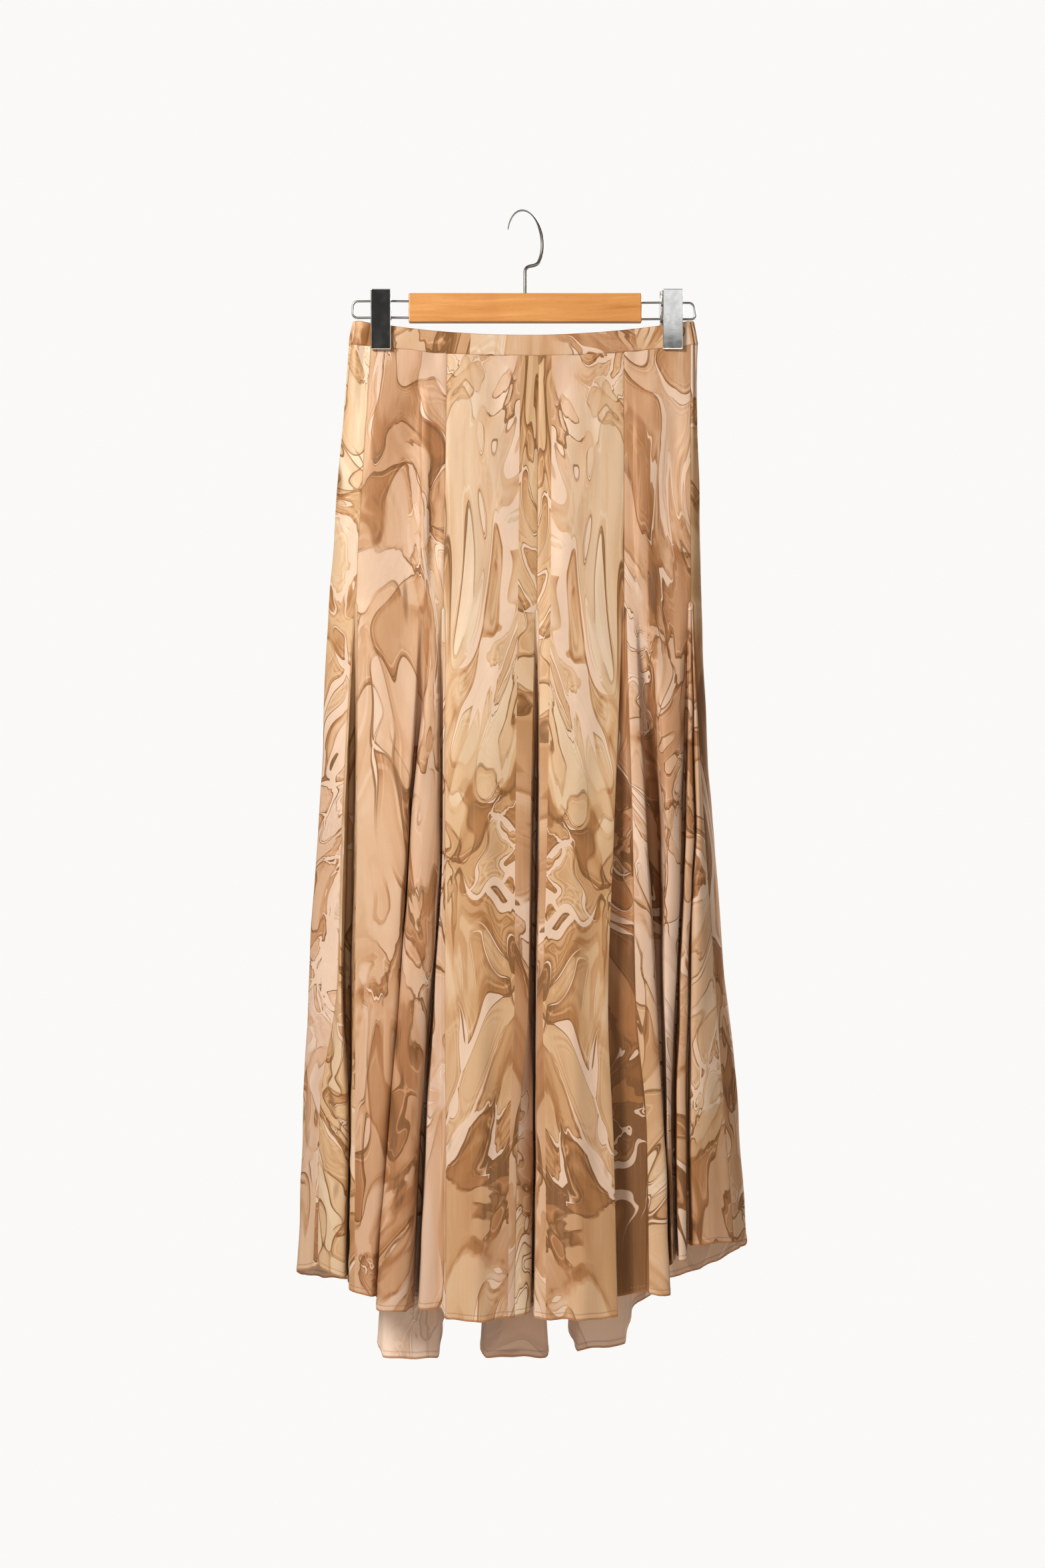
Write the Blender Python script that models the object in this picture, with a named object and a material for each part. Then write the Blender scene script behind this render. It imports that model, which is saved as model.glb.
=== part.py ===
"""A long gored skirt with godets, hanging from a wooden hanger with two metal clips.

The origin is the inside of the hook's top, where a rail carries it. X runs along the hanger, the skirt's
front faces -Y and Z is up. Sizes are in millimetres here and become metres in the meshes.
"""

import math
from typing import NamedTuple

import bmesh
import bpy
from mathutils import Matrix, Vector

MM = 0.001

# Finishes: colour, roughness and metallic
CLOTH_FINISH = ((0.58, 0.36, 0.19), 0.45, 0.0)
CHROME_FINISH = ((0.80, 0.80, 0.80), 0.12, 1.0)
WOOD_FINISH = ((0.72, 0.36, 0.11), 0.35, 0.0)
SHARP_ANGLE = math.radians(40.0)

# Cloth
WALL = 1.2
BAND_WALL = 2.0
SEAM_GAP = 0.3
ROUNDNESS = 0.8
SEAM_ROUNDING = 1.0
FLAT_STEPS = 2
GATHERED_STEPS = 3
MITRE_LIMIT = 1.5

# Waist seam and the band above it: both sag between the clips
SEAM_END_Z = -134.5
SEAM_SAG = 12.0
BAND_END_Z = -110.8
BAND_SAG = 14.5
SAG_REACH = 172.0
BAND_TAPER = 0.975
BAND_ROWS = (1.0, 0.5, 0.0)

# Gathers below the elastic back, which fade out down the cloth
GATHER_DEPTH = 2.4
GATHER_FADE = 0.075
GATHER_UNEVENNESS = 0.35
GATHER_PHASE_STEP = 2.3
GATHER_PHASE = 0.7
CLIPPED_AT = 147.5
CLIPPED_REACH = 34.0

# Shares of the way from the waist seam to the hem
WAIST, START, KNEE, CALF, ANKLE, HEM = 0.0, 0.275, 0.51, 0.69, 0.83, 1.0
JUST_ABOVE_START = START - 0.003
HEM_Z = -1090.0
HEM_BEND = 1.4
UPPER_ROWS = (WAIST, 0.045, 0.1, 0.18, JUST_ABOVE_START)
LOWER_ROWS = (START, 0.33, 0.4, 0.48, 0.56, 0.65, 0.74, 0.83, 0.92, HEM)


class Fold(NamedTuple):
    """One line down the cloth, a seam, ridge or valley: where it stands at each level, and its hem."""

    waist_x: float
    start_x: float
    knee_x: float
    calf_x: float
    ankle_x: float
    hem_x: float
    waist_y: float
    start_y: float
    knee_y: float
    hem_y: float
    hem_z: float


def straight(waist_x, start_x, hem_x, waist_y, start_y, knee_y, hem_y, hem_z):
    """A fold that runs straight from the godets' start to the hem, as on the unseen back."""
    between = [start_x + (hem_x - start_x) * (v - START) / (HEM - START) for v in (KNEE, CALF, ANKLE)]
    return Fold(waist_x, start_x, *between, hem_x, waist_y, start_y, knee_y, hem_y, hem_z)


class Piece(NamedTuple):
    """A cut piece: its own first seam, then its folds. It ends at the first seam of the next piece."""

    name: str
    kind: str
    folds: tuple


SKIRT = (
    # x: waist start knee calf ankle hem, y: waist start knee hem, z: hem
    Piece("side_godet_left", "godet", (
        Fold(-156, -172.6, -184.6, -189.4, -207, -209, -3, -10, -16, -20, -1063),
        Fold(-156, -171.9, -181.6, -185, -180, -181.5, -3, -11, -22, -38, -1074),
        Fold(-156, -171.2, -180, -182.9, -180.2, -182.8, -3, -11, 4, 0, -1070),
        Fold(-156, -170.2, -174.2, -176.9, -175.2, -177.4, -3, -11, 4, 0, -1074),
    )),
    Piece("front_panel_1", "panel", (
        Fold(-156, -169.2, -169.4, -172.1, -174.2, -176.2, -3, -12, -24, -42, -1084),
        Fold(-108, -108, -120.2, -131, -141.8, -153.2, -3, -17, -37, -58, -1088),
        Fold(-104, -104, -118.6, -128.6, -137.6, -148.6, -3, -17, -14, -26, -1094),
        Fold(-99.2, -99.2, -114.2, -123.4, -132, -143.2, -3, -17, -14, -26, -1098),
        Fold(-94.5, -95, -112.7, -124.5, -136.4, -148, -3, -17, -38, -60, -1101),
        Fold(-89, -89, -87.8, -98, -108.6, -116.4, -3, -17, -37, -63, -1103),
    )),
    Piece("front_godet_1", "godet", (
        Fold(-79, -84.2, -86.8, -96.6, -105.6, -112.4, -3, -17, -14, -14, -1096),
        Fold(-79, -83.2, -83.4, -92.6, -101, -107.6, -3, -17, -14, -14, -1096),
        Fold(-79, -82.4, -82.6, -91, -98.2, -104.2, -3, -17, -31, -58, -1100),
        Fold(-79, -81.5, -81.6, -84.4, -84.2, -84.4, -3, -17, -32, -60, -1101),
    )),
    Piece("front_panel_2", "panel", (
        Fold(-79, -80.6, -80.4, -80.3, -79, -79, -3, -17, -36, -68, -1109),
        Fold(-34, -35, -37, -38, -42, -44, -4, -21, -42, -72, -1111),
    )),
    Piece("front_godet_2", "godet", (
        Fold(13.4, 10, 5.4, 3, -7.4, -10.8, -3, -18, -36, -62, -1108),
        Fold(13.4, 10.9, 6.6, 4.6, 5.4, 5, -3, -18, -18, -54, -1105),
        Fold(13.4, 11.5, 7.8, 5.6, 6.4, 5.8, -3, -18, 2, -12, -1095),
        Fold(13.4, 12.7, 12, 9.6, 11, 10.8, -3, -18, 2, -12, -1095),
    )),
    Piece("front_panel_3", "panel", (
        Fold(13.4, 13.6, 14.2, 11.4, 11, 8.6, -3, -18, -37, -66, -1108),
        Fold(57, 54, 52, 48, 49, 50, -4, -21, -42, -72, -1110),
    )),
    Piece("front_godet_3", "godet", (
        Fold(99.9, 97.4, 89.1, 83, 88.4, 91.8, -3, -17, -36, -64, -1107),
        Fold(99.9, 98.8, 89.6, 82, 86, 88.6, -3, -17, -22, -40, -1092),
        Fold(99.9, 100.4, 106, 109, 119, 121, -3, -17, -20, -44, -1085),
    )),
    Piece("front_panel_4", "panel", (
        Fold(99.9, 101.8, 107.3, 110, 120.8, 122.9, -3, -17, -34, -58, -1086),
        Fold(108, 110.7, 120.8, 130.3, 137.7, 144.2, -3, -17, -34, -58, -1087),
        Fold(112.1, 114.8, 123.6, 131.6, 136.8, 140.4, -3, -16.5, -4, -22, -1075),
        Fold(117.5, 120.2, 135, 137, 140.4, 144.4, -3, -16, -4, -22, -1066),
        Fold(126.2, 131, 141.8, 139.5, 141.7, 146, -3, -15.5, -29, -50, -1057),
        Fold(149.9, 155.2, 155.9, 150.5, 145.5, 148.6, -3, -13.5, -25, -46, -1056),
    )),
    Piece("side_godet_right", "godet", (
        Fold(167.4, 164.4, 158.6, 152, 147.6, 150.2, -2.5, -12, -2, -10, -1052),
        Fold(167.4, 165.3, 161.8, 155.2, 150.8, 153.6, -2.5, -12, -2, -10, -1052),
        Fold(167.4, 166.1, 162.6, 156.2, 152, 153.4, -2.5, -12, -20, -44, -1056),
        Fold(167.4, 166.9, 168.6, 163.4, 160.4, 160.6, -2.5, -12, -19, -42, -1055),
        Fold(167.4, 167.6, 169.8, 164.8, 161.8, 162, -2.5, -11.5, -4, -12, -1046),
        Fold(167.4, 168.3, 172.8, 168.4, 165.4, 166.4, -2.5, -11.5, -4, -12, -1044),
        Fold(167.4, 169, 174.2, 170.8, 168.2, 168.4, -2.5, -11, -17, -34, -1041),
    )),
    # x: waist start hem, y: waist start knee hem, z: hem
    Piece("back_panel_4", "gathered", (
        Fold(167.4, 170, 180.4, 191.7, 199.8, 210.6, -2.5, -10, -12, -16, -1041),
        Fold(171.5, 178.6, 187.6, 201, 214, 224, 0.5, 0, 2, 4, -1043),
        straight(166, 173, 216, 3.4, 13, 26, 42, -1058),
        straight(132, 138, 182, 3.9, 19, 40, 70, -1082),
    )),
    Piece("back_godet_3", "godet", (
        straight(79, 83.6, 146, 5.5, 21, 46, 76, -1095),
        straight(79, 82.6, 109, 5.5, 21, 38, 50, -1122),
        straight(79, 81.8, 101, 5.5, 21, 26, 20, -1150),
        straight(79, 79.8, 54, 5.5, 21, 26, 18, -1157),
        straight(79, 78.8, 46, 5.5, 21, 38, 46, -1138),
    )),
    Piece("back_panel_3", "gathered", (
        straight(79, 78, 44, 5.5, 21, 46, 74, -1118),
        straight(60, 60, 49, 6, 23, 54, 98, -1113),
        straight(32, 32, 30, 6.2, 24, 58, 109, -1112),
        straight(6, 7, 8, 6, 23, 54, 99, -1114),
    )),
    Piece("back_godet_2", "godet", (
        straight(-15, -11.4, 11, 6, 21, 46, 74, -1120),
        straight(-15, -12.4, 18, 6, 21, 38, 46, -1146),
        straight(-15, -13.2, 20, 6, 21, 26, 20, -1163),
        straight(-15, -15.2, -40, 6, 21, 26, 18, -1163),
        straight(-15, -16.2, -42, 6, 21, 38, 46, -1146),
    )),
    Piece("back_panel_2", "gathered", (
        straight(-15, -17, -34, 6, 21, 46, 74, -1120),
        straight(-36, -37, -30, 6.2, 23, 54, 98, -1114),
        straight(-62, -63, -56, 6.2, 24, 58, 111, -1112),
        straight(-88, -90, -82, 6, 23, 54, 99, -1114),
    )),
    Piece("back_godet_1", "godet", (
        straight(-109, -109.6, -80, 5.5, 20, 46, 74, -1120),
        straight(-109, -110.6, -87, 5.5, 20, 38, 46, -1146),
        straight(-109, -111.4, -90, 5.5, 20, 26, 20, -1165),
        straight(-109, -113.4, -145, 5.5, 20, 26, 22, -1165),
        straight(-109, -114.4, -150, 5.5, 20, 38, 48, -1144),
    )),
    Piece("back_panel_1", "gathered", (
        straight(-109, -115.2, -146, 5.5, 20, 44, 72, -1112),
        straight(-132, -138, -164, 3.9, 22, 48, 92, -1100),
        straight(-154, -162, -196, 3.3, 20, 42, 84, -1094),
        straight(-172, -187, -220, 3.2, 14, 28, 50, -1086),
        Fold(-177, -199, -209.6, -221, -225.5, -230.5, 1, 3, 6, 12, -1076),
    )),
)

# Hanger bar
BAR_HALF_LENGTH = 117.8
BAR_TOP_Z = -83.4
BAR_HEIGHT = 29.0
BAR_THICKNESS = 13.0
BAR_EDGE_RADIUS = 2.6
BAR_EDGE_SEGMENTS = 3
HOLE_CLEARANCE = 0.3

# Hook: a stem, a tight bend and a round crook whose plane is turned from the bar's
HOOK_TURN = math.radians(54.0)
HOOK_RADIUS = 30.0
HOOK_SIDES = 10
STEM_DIAMETER = 3.4
STEM_DEPTH = 16.0
STEM_STRAIGHT = 22.0
STEM_HOLE_SIDES = 12
STRIP_WIDTH = 8.7
STRIP_THICKNESS = 2.0
STRIP_FROM = math.radians(20.0)
STRIP_FULL = math.radians(75.0)
CROOK_FROM = math.radians(-38.0)
CROOK_TO = math.radians(168.0)
CROOK_STEPS = 18
STEM_BEND_STEPS = 6
TIP_SCALE = 0.55

# Wires that stick out of the bar's ends and carry the clips
WIRE_DIAMETER = 2.3
WIRE_DEPTH = 10.0
WIRE_CORNER = 5.0
WIRE_CORNER_STEPS = 4
WIRE_SIDES = 8


class Wire(NamedTuple):
    side: str
    end_x: float
    upper_z: float
    lower_z: float


WIRES = (
    Wire("left", -174.8, -90.8, -107.5),
    Wire("right", 172.9, -92.4, -109.0),
)


# Clips: two channel plates with a spring pin between them
CLIP_WIDTH = 20.4
CLIP_TOP_Z = -79.7
CLIP_BOTTOM_Z = -140.4
CLIP_METAL = 1.0
CLIP_WIRE_FACE = WIRE_DIAMETER / 2 + 0.3
CLIP_OUTER_TOP = 10.0
CLIP_OUTER_BOTTOM = 8.6
CLIP_EAR = 3.0
CLIP_SHOULDER = 5.0
CLIP_BEND_FROM = 26.0
CLIP_BEND_TO = 30.0
PIN_RADIUS = 3.2
PIN_SIDES = 16


FRONT_JAW_Y = 4.5
BACK_JAW_Y = 6.2


class Clip(NamedTuple):
    side: str
    x: float
    back_shift: float


CLIPS = (
    Clip("left", -145.8, 0.0),
    Clip("right", 149.2, -2.2),
)


class Section(NamedTuple):
    """The oval of a swept piece at one point of its path."""

    across: Vector
    up: Vector
    half_width: float
    half_thickness: float


def material(name, finish):
    colour, roughness, metallic = finish
    made = bpy.data.materials.new(name)
    made.use_nodes = True
    shader = made.node_tree.nodes["Principled BSDF"]
    shader.inputs["Base Color"].default_value = (*colour, 1.0)
    shader.inputs["Roughness"].default_value = roughness
    shader.inputs["Metallic"].default_value = metallic
    return made


def linked(name, mesh, finish):
    """A smooth object of a mesh, with its true edges kept sharp."""
    mesh.shade_smooth()
    mesh.set_sharp_from_angle(angle=SHARP_ANGLE)
    mesh.materials.append(finish)
    made = bpy.data.objects.new(name, mesh)
    bpy.context.scene.collection.objects.link(made)
    return made


def add_object(name, points, faces, finish):
    """A mesh object from points in millimetres, with its faces turned outward."""
    mesh = bpy.data.meshes.new(name)
    mesh.from_pydata([tuple(c * MM for c in point) for point in points], [], faces)
    mesh.validate()
    shape = bmesh.new()
    shape.from_mesh(mesh)
    bmesh.ops.recalc_face_normals(shape, faces=shape.faces)
    shape.to_mesh(mesh)
    shape.free()
    return linked(name, mesh, finish)


def hermite(start, end, leaving, arriving, t):
    """A point on the curve from start to end that leaves and arrives with the given tangents."""
    rise = end - start
    bend = 3 * rise - 2 * leaving - arriving
    return start + leaving * t + bend * t**2 + (leaving + arriving - 2 * rise) * t**3


def along(values, levels, v):
    """A value between levels, on a curve that is smooth but never overshoots them."""
    last = len(levels) - 1
    i = max(k for k in range(last) if levels[k] <= v or k == 0)
    steps = [levels[k + 1] - levels[k] for k in range(last)]
    slopes = [(values[k + 1] - values[k]) / steps[k] for k in range(last)]

    def tangent(k):
        if k in (0, last):
            return slopes[0] if k == 0 else slopes[-1]
        before, after = slopes[k - 1], slopes[k]
        if before * after <= 0:
            return 0.0
        return 2 * before * after / (before + after)

    t = (v - levels[i]) / steps[i]
    return hermite(values[i], values[i + 1], tangent(i) * steps[i], tangent(i + 1) * steps[i], t)


def sag(x, end_z, depth):
    return end_z - depth * max(0.0, 1 - (x / SAG_REACH) ** 2)


def fold_point(fold, v):
    x = along(fold[0:6], (WAIST, START, KNEE, CALF, ANKLE, HEM), v)
    y = along(fold[6:10], (WAIST, START, KNEE, HEM), v)
    top = sag(fold.waist_x, SEAM_END_Z, SEAM_SAG)
    below_start = max(0.0, (v - START) / (HEM - START))
    z = top + (HEM_Z - top) * v + (fold.hem_z - HEM_Z) * below_start**HEM_BEND
    return Vector((x, y, z))


def ring_stations(v):
    """The fold points round the skirt at one level, as (piece, point, is it a seam). Godets begin at START."""
    stations = []
    for i, piece in enumerate(SKIRT):
        if piece.kind == "godet" and v < START:
            continue
        points = [fold_point(fold, v) for fold in piece.folds]
        before = SKIRT[i - 1]
        if before.kind == "godet" and v < START:
            points[0] = (points[0] + fold_point(before.folds[0], v)) / 2
        stations += [(piece, point, k == 0) for k, point in enumerate(points)]
    return stations


def curve_point(stations, i, t):
    """A point between station i and the next, on a curve whose tangents keep to the shorter side."""

    def tangent(k):
        before, (_, here, seam), after = (stations[j % len(stations)] for j in (k - 1, k, k + 1))
        reach = min((here - before[1]).xy.length, (after[1] - here).xy.length)
        way = (after[1] - before[1]).xy
        return way.normalized() * (min(reach, SEAM_ROUNDING) if seam else reach * ROUNDNESS)

    first, second = stations[i][1], stations[(i + 1) % len(stations)][1]
    flat = hermite(first.xy, second.xy, tangent(i), tangent(i + 1), t)
    return Vector((flat.x, flat.y, first.z + (second.z - first.z) * t))


def gather(v, k, x):
    """How far a gathered column stands out or in at one level. The clips press the gathers flat."""
    uneven = 1 + GATHER_UNEVENNESS * math.sin(GATHER_PHASE_STEP * k + GATHER_PHASE)
    pressed = min(1.0, abs(abs(x) - CLIPPED_AT) / CLIPPED_REACH)
    return GATHER_DEPTH * uneven * pressed * math.exp(-v / GATHER_FADE) * (1 if k % 2 else -1)


def outward(points, k):
    """The unit tangent, the outward normal and how much a mitre lengthens it, at point k of a closed ring."""
    here = points[k].xy
    arriving = (here - points[k - 1].xy).normalized()
    leaving = (points[(k + 1) % len(points)].xy - here).normalized()
    along_ring = (arriving + leaving).normalized()
    mitre = 1 / max(1 / MITRE_LIMIT, along_ring.dot(leaving))
    return along_ring, Vector((along_ring.y, -along_ring.x)), mitre


def ring_columns(v):
    """Each piece's columns at one level, from its first seam to the next, as (point, *outward(...))."""
    stations = ring_stations(v)
    ring = []
    owners = []
    for i, (piece, _, _) in enumerate(stations):
        steps = GATHERED_STEPS if piece.kind == "gathered" else FLAT_STEPS
        for s in range(steps):
            ring.append(curve_point(stations, i, s / steps))
            owners.append(piece.name)
    plain = [outward(ring, k) for k in range(len(ring))]
    kinds = {piece.name: piece.kind for piece in SKIRT}
    for k, name in enumerate(owners):
        if kinds[name] == "gathered" and owners[k - 1] == name:
            column = k - owners.index(name)
            shift = plain[k][1] * gather(v, column, ring[k].x)
            ring[k] = ring[k] + Vector((shift.x, shift.y, 0))
    framed = [(ring[k], *outward(ring, k)) for k in range(len(ring))]
    columns = {}
    for name in dict.fromkeys(owners):
        first = next(k for k, owner in enumerate(owners) if owner == name and owners[k - 1] != name)
        count = owners.count(name)
        columns[name] = [framed[(first + c) % len(framed)] for c in range(count + 1)]
    return columns


def wall_row(columns, wall):
    """The outer and inner points of a wall at one level, trimmed by half the seam gap at both ends."""
    outer, inner = [], []
    for c, (point, tangent, normal, mitre) in enumerate(columns):
        trim = {0: SEAM_GAP / 2, len(columns) - 1: -SEAM_GAP / 2}.get(c, 0.0)
        shift = tangent * trim
        half = normal * (wall / 2 * mitre)
        centre = point.xy + shift
        outer.append((centre.x + half.x, centre.y + half.y, point.z))
        inner.append((centre.x - half.x, centre.y - half.y, point.z))
    return outer, inner


def cloth_solid(name, rows, finish):
    """A closed wall from rows of (outer, inner) points, top row first. Both sides split each cell alike."""
    width = len(rows[0][0])
    points = [p for outer, inner in rows for p in outer + inner]

    def index(row, column, side):
        return row * 2 * width + side * width + column

    faces = []
    for r in range(len(rows) - 1):
        for c in range(width - 1):
            a, b = Vector(rows[r][0][c]), Vector(rows[r + 1][0][c + 1])
            d, e = Vector(rows[r][0][c + 1]), Vector(rows[r + 1][0][c])
            cell = [(r, c), (r + 1, c), (r + 1, c + 1), (r, c + 1)]
            if (a - b).length <= (d - e).length:
                halves = [(cell[0], cell[1], cell[2]), (cell[0], cell[2], cell[3])]
            else:
                halves = [(cell[0], cell[1], cell[3]), (cell[1], cell[2], cell[3])]
            for half in halves:
                faces.append([index(*corner, 0) for corner in half])
                faces.append([index(*corner, 1) for corner in reversed(half)])
        for c, order in ((0, 1), (width - 1, -1)):
            end = [index(r, c, 0), index(r, c, 1), index(r + 1, c, 1), index(r + 1, c, 0)]
            faces += [[end[0], end[1], end[2]][::order], [end[0], end[2], end[3]][::order]]
    for r, order in ((0, 1), (len(rows) - 1, -1)):
        for c in range(width - 1):
            rim = [index(r, c, 0), index(r, c + 1, 0), index(r, c + 1, 1), index(r, c, 1)][::order]
            faces += [[rim[0], rim[1], rim[2]], [rim[0], rim[2], rim[3]]]
    return add_object(name, points, faces, finish)


def build_skirt():
    levels = [(v, ring_columns(v)) for v in UPPER_ROWS + LOWER_ROWS]
    for piece in SKIRT:
        rows = []
        for v, columns in levels:
            if piece.name not in columns:
                continue
            outer, inner = wall_row(columns[piece.name], WALL)
            if v == WAIST:
                outer, inner = [[(x, y, z - SEAM_GAP / 2) for x, y, z in side] for side in (outer, inner)]
            rows.append((outer, inner))
        cloth_solid(piece.name, rows, material(piece.name + "_cloth", CLOTH_FINISH))


def build_waistband():
    """Both halves of the band stand on the waist ring, and their top edge sags more than the seam."""
    columns = ring_columns(WAIST)
    for half in ("front", "back"):
        pieces = [piece.name for piece in SKIRT if piece.name.startswith(half + "_panel")]
        joined = []
        for name in pieces:
            joined += columns[name] if name == pieces[-1] else columns[name][:-1]
        rows = []
        for share in BAND_ROWS:
            outer, inner = wall_row(joined, BAND_WALL)
            taper = 1 + (BAND_TAPER - 1) * share
            lifted = []
            for side in (outer, inner):
                level = []
                for x, y, z in side:
                    low = z + SEAM_GAP
                    high = sag(x, BAND_END_Z, BAND_SAG)
                    level.append((x * taper, y, low + (high - low) * share))
                lifted.append(level)
            rows.append(tuple(lifted))
        band = "waistband_" + half
        cloth_solid(band, rows, material(band + "_cloth", CLOTH_FINISH))


def swept(name, path, sections, sides, finish):
    """A closed tube through the oval sections along a path."""
    points = []
    for centre, section in zip(path, sections):
        for k in range(sides):
            angle = 2 * math.pi * k / sides
            sideways = section.across * (section.half_width * math.cos(angle))
            upward = section.up * (section.half_thickness * math.sin(angle))
            points.append(centre + sideways + upward)
    faces = []
    for i in range(len(path) - 1):
        for k in range(sides):
            a, b = i * sides + k, i * sides + (k + 1) % sides
            faces.append([a, b, b + sides, a + sides])
    faces.append(list(range(sides))[::-1])
    faces.append([(len(path) - 1) * sides + k for k in range(sides)])
    add_object(name, points, faces, finish)


def build_hook():
    """Stem, bend and crook in one plane, flattened into a strip where it lies on the rail."""
    crook_z = STRIP_THICKNESS / 2 - HOOK_RADIUS
    crook = Vector((math.cos(CROOK_FROM) * HOOK_RADIUS, math.sin(CROOK_FROM) * HOOK_RADIUS + crook_z))
    crook_way = Vector((-math.sin(CROOK_FROM), math.cos(CROOK_FROM)))
    foot = Vector((0.0, BAR_TOP_Z - STEM_DEPTH + HOLE_CLEARANCE))
    bend = Vector((0.0, BAR_TOP_Z + STEM_STRAIGHT))
    route = [(foot, 0.0), (Vector((0.0, BAR_TOP_Z)), 0.0)]
    pull = (crook - bend).length
    for k in range(STEM_BEND_STEPS):
        spot = hermite(bend, crook, Vector((0.0, pull)), crook_way * pull, k / STEM_BEND_STEPS)
        route.append((spot, 0.0))
    for k in range(CROOK_STEPS + 1):
        angle = CROOK_FROM + (CROOK_TO - CROOK_FROM) * k / CROOK_STEPS
        spot = Vector((math.cos(angle) * HOOK_RADIUS, math.sin(angle) * HOOK_RADIUS + crook_z))
        flat = min(1.0, max(0.0, (angle - STRIP_FROM) / (STRIP_FULL - STRIP_FROM)))
        route.append((spot, flat * flat * (3 - 2 * flat)))
    turn = Vector((math.cos(HOOK_TURN), math.sin(HOOK_TURN), 0.0))
    across = Vector((0.0, 0.0, 1.0)).cross(turn)
    path = [turn * spot.x + Vector((0, 0, spot.y)) for spot, _ in route]
    sections = []
    for i, (_, flat) in enumerate(route):
        ahead = path[min(i + 1, len(path) - 1)]
        behind = path[max(i - 1, 0)]
        tangent = (ahead - behind).normalized()
        size = TIP_SCALE / 2 if i == len(route) - 1 else 1 / 2
        half_width = (STEM_DIAMETER + (STRIP_WIDTH - STEM_DIAMETER) * flat) * size
        half_thickness = (STEM_DIAMETER + (STRIP_THICKNESS - STEM_DIAMETER) * flat) * size
        sections.append(Section(across, tangent.cross(across), half_width, half_thickness))
    swept("hanger_hook", path, sections, HOOK_SIDES, material("hook_chrome", CHROME_FINISH))


def build_wire(wire):
    """A U of round wire on its side: out of the bar, round two corners and back into it."""
    way = -1 if wire.side == "left" else 1
    foot_x = way * (BAR_HALF_LENGTH - WIRE_DEPTH + HOLE_CLEARANCE)
    corner_x = wire.end_x - way * WIRE_CORNER
    path = [Vector((foot_x, 0, wire.upper_z))]
    for centre_z, first_angle in (
        (wire.upper_z - WIRE_CORNER, math.pi / 2),
        (wire.lower_z + WIRE_CORNER, 0.0),
    ):
        for k in range(WIRE_CORNER_STEPS + 1):
            angle = first_angle - math.pi / 2 * k / WIRE_CORNER_STEPS
            x = corner_x + way * WIRE_CORNER * math.cos(angle)
            path.append(Vector((x, 0, centre_z + WIRE_CORNER * math.sin(angle))))
    path.append(Vector((foot_x, 0, wire.lower_z)))
    across = Vector((0, 1, 0))
    radius = WIRE_DIAMETER / 2
    sections = []
    for i in range(len(path)):
        tangent = (path[min(i + 1, len(path) - 1)] - path[max(i - 1, 0)]).normalized()
        sections.append(Section(across, tangent.cross(across), radius, radius))
    chrome = material(f"wire_{wire.side}_chrome", CHROME_FINISH)
    swept(f"hanger_wire_{wire.side}", path, sections, WIRE_SIDES, chrome)


def box_mesh(name, low, high, finish):
    corners = [(x, y, z) for z in (low[2], high[2]) for y in (low[1], high[1]) for x in (low[0], high[0])]
    faces = [(0, 2, 3, 1), (4, 5, 7, 6), (0, 1, 5, 4), (2, 6, 7, 3), (0, 4, 6, 2), (1, 3, 7, 5)]
    return add_object(name, corners, faces, finish)


def cylinder(name, radius, length, sides, centre, axis, finish):
    """A cylinder in millimetres along X or Z."""
    mesh = bpy.data.meshes.new(name)
    shape = bmesh.new()
    turn = Matrix.Rotation(math.pi / 2, 4, "Y") if axis == "X" else Matrix.Identity(4)
    bmesh.ops.create_cone(
        shape,
        cap_ends=True,
        segments=sides,
        radius1=radius * MM,
        radius2=radius * MM,
        depth=length * MM,
        matrix=Matrix.Translation(Vector(centre) * MM) @ turn,
    )
    shape.to_mesh(mesh)
    shape.free()
    return linked(name, mesh, finish)


def cut(target, cutter):
    """Takes a cutter out of a solid and keeps the cutter as a guide that isn't rendered."""
    cutter.hide_render = True
    cutter.display_type = "WIRE"
    taken = target.modifiers.new(cutter.name, "BOOLEAN")
    taken.operation = "DIFFERENCE"
    taken.object = cutter


def build_bar():
    wood = material("hanger_wood", WOOD_FINISH)
    bar = box_mesh(
        "hanger_bar",
        (-BAR_HALF_LENGTH, -BAR_THICKNESS / 2, BAR_TOP_Z - BAR_HEIGHT),
        (BAR_HALF_LENGTH, BAR_THICKNESS / 2, BAR_TOP_Z),
        wood,
    )
    soften = bar.modifiers.new("soft edges", "BEVEL")
    soften.width = BAR_EDGE_RADIUS * MM
    soften.segments = BAR_EDGE_SEGMENTS
    stem_hole = cylinder(
        "stem_hole",
        STEM_DIAMETER / 2 + HOLE_CLEARANCE,
        2 * STEM_DEPTH,
        STEM_HOLE_SIDES,
        (0, 0, BAR_TOP_Z),
        "Z",
        wood,
    )
    cut(bar, stem_hole)
    for wire in WIRES:
        end_x = -BAR_HALF_LENGTH if wire.side == "left" else BAR_HALF_LENGTH
        for height, z in (("upper", wire.upper_z), ("lower", wire.lower_z)):
            hole = cylinder(
                f"wire_hole_{wire.side}_{height}",
                WIRE_DIAMETER / 2 + HOLE_CLEARANCE,
                2 * WIRE_DEPTH,
                WIRE_SIDES,
                (end_x, 0, z),
                "X",
                wood,
            )
            cut(bar, hole)


def prism(name, outline, half_width, x, finish):
    """A side outline of (y, z) points, stretched across the clip's width."""
    count = len(outline)
    points = [(x + side * half_width, y, z) for side in (-1, 1) for y, z in outline]
    faces = [list(range(count)), list(range(2 * count - 1, count - 1, -1))]
    faces += [[k, k + count, (k + 1) % count + count, (k + 1) % count] for k in range(count)]
    return add_object(name, points, faces, finish)


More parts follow.
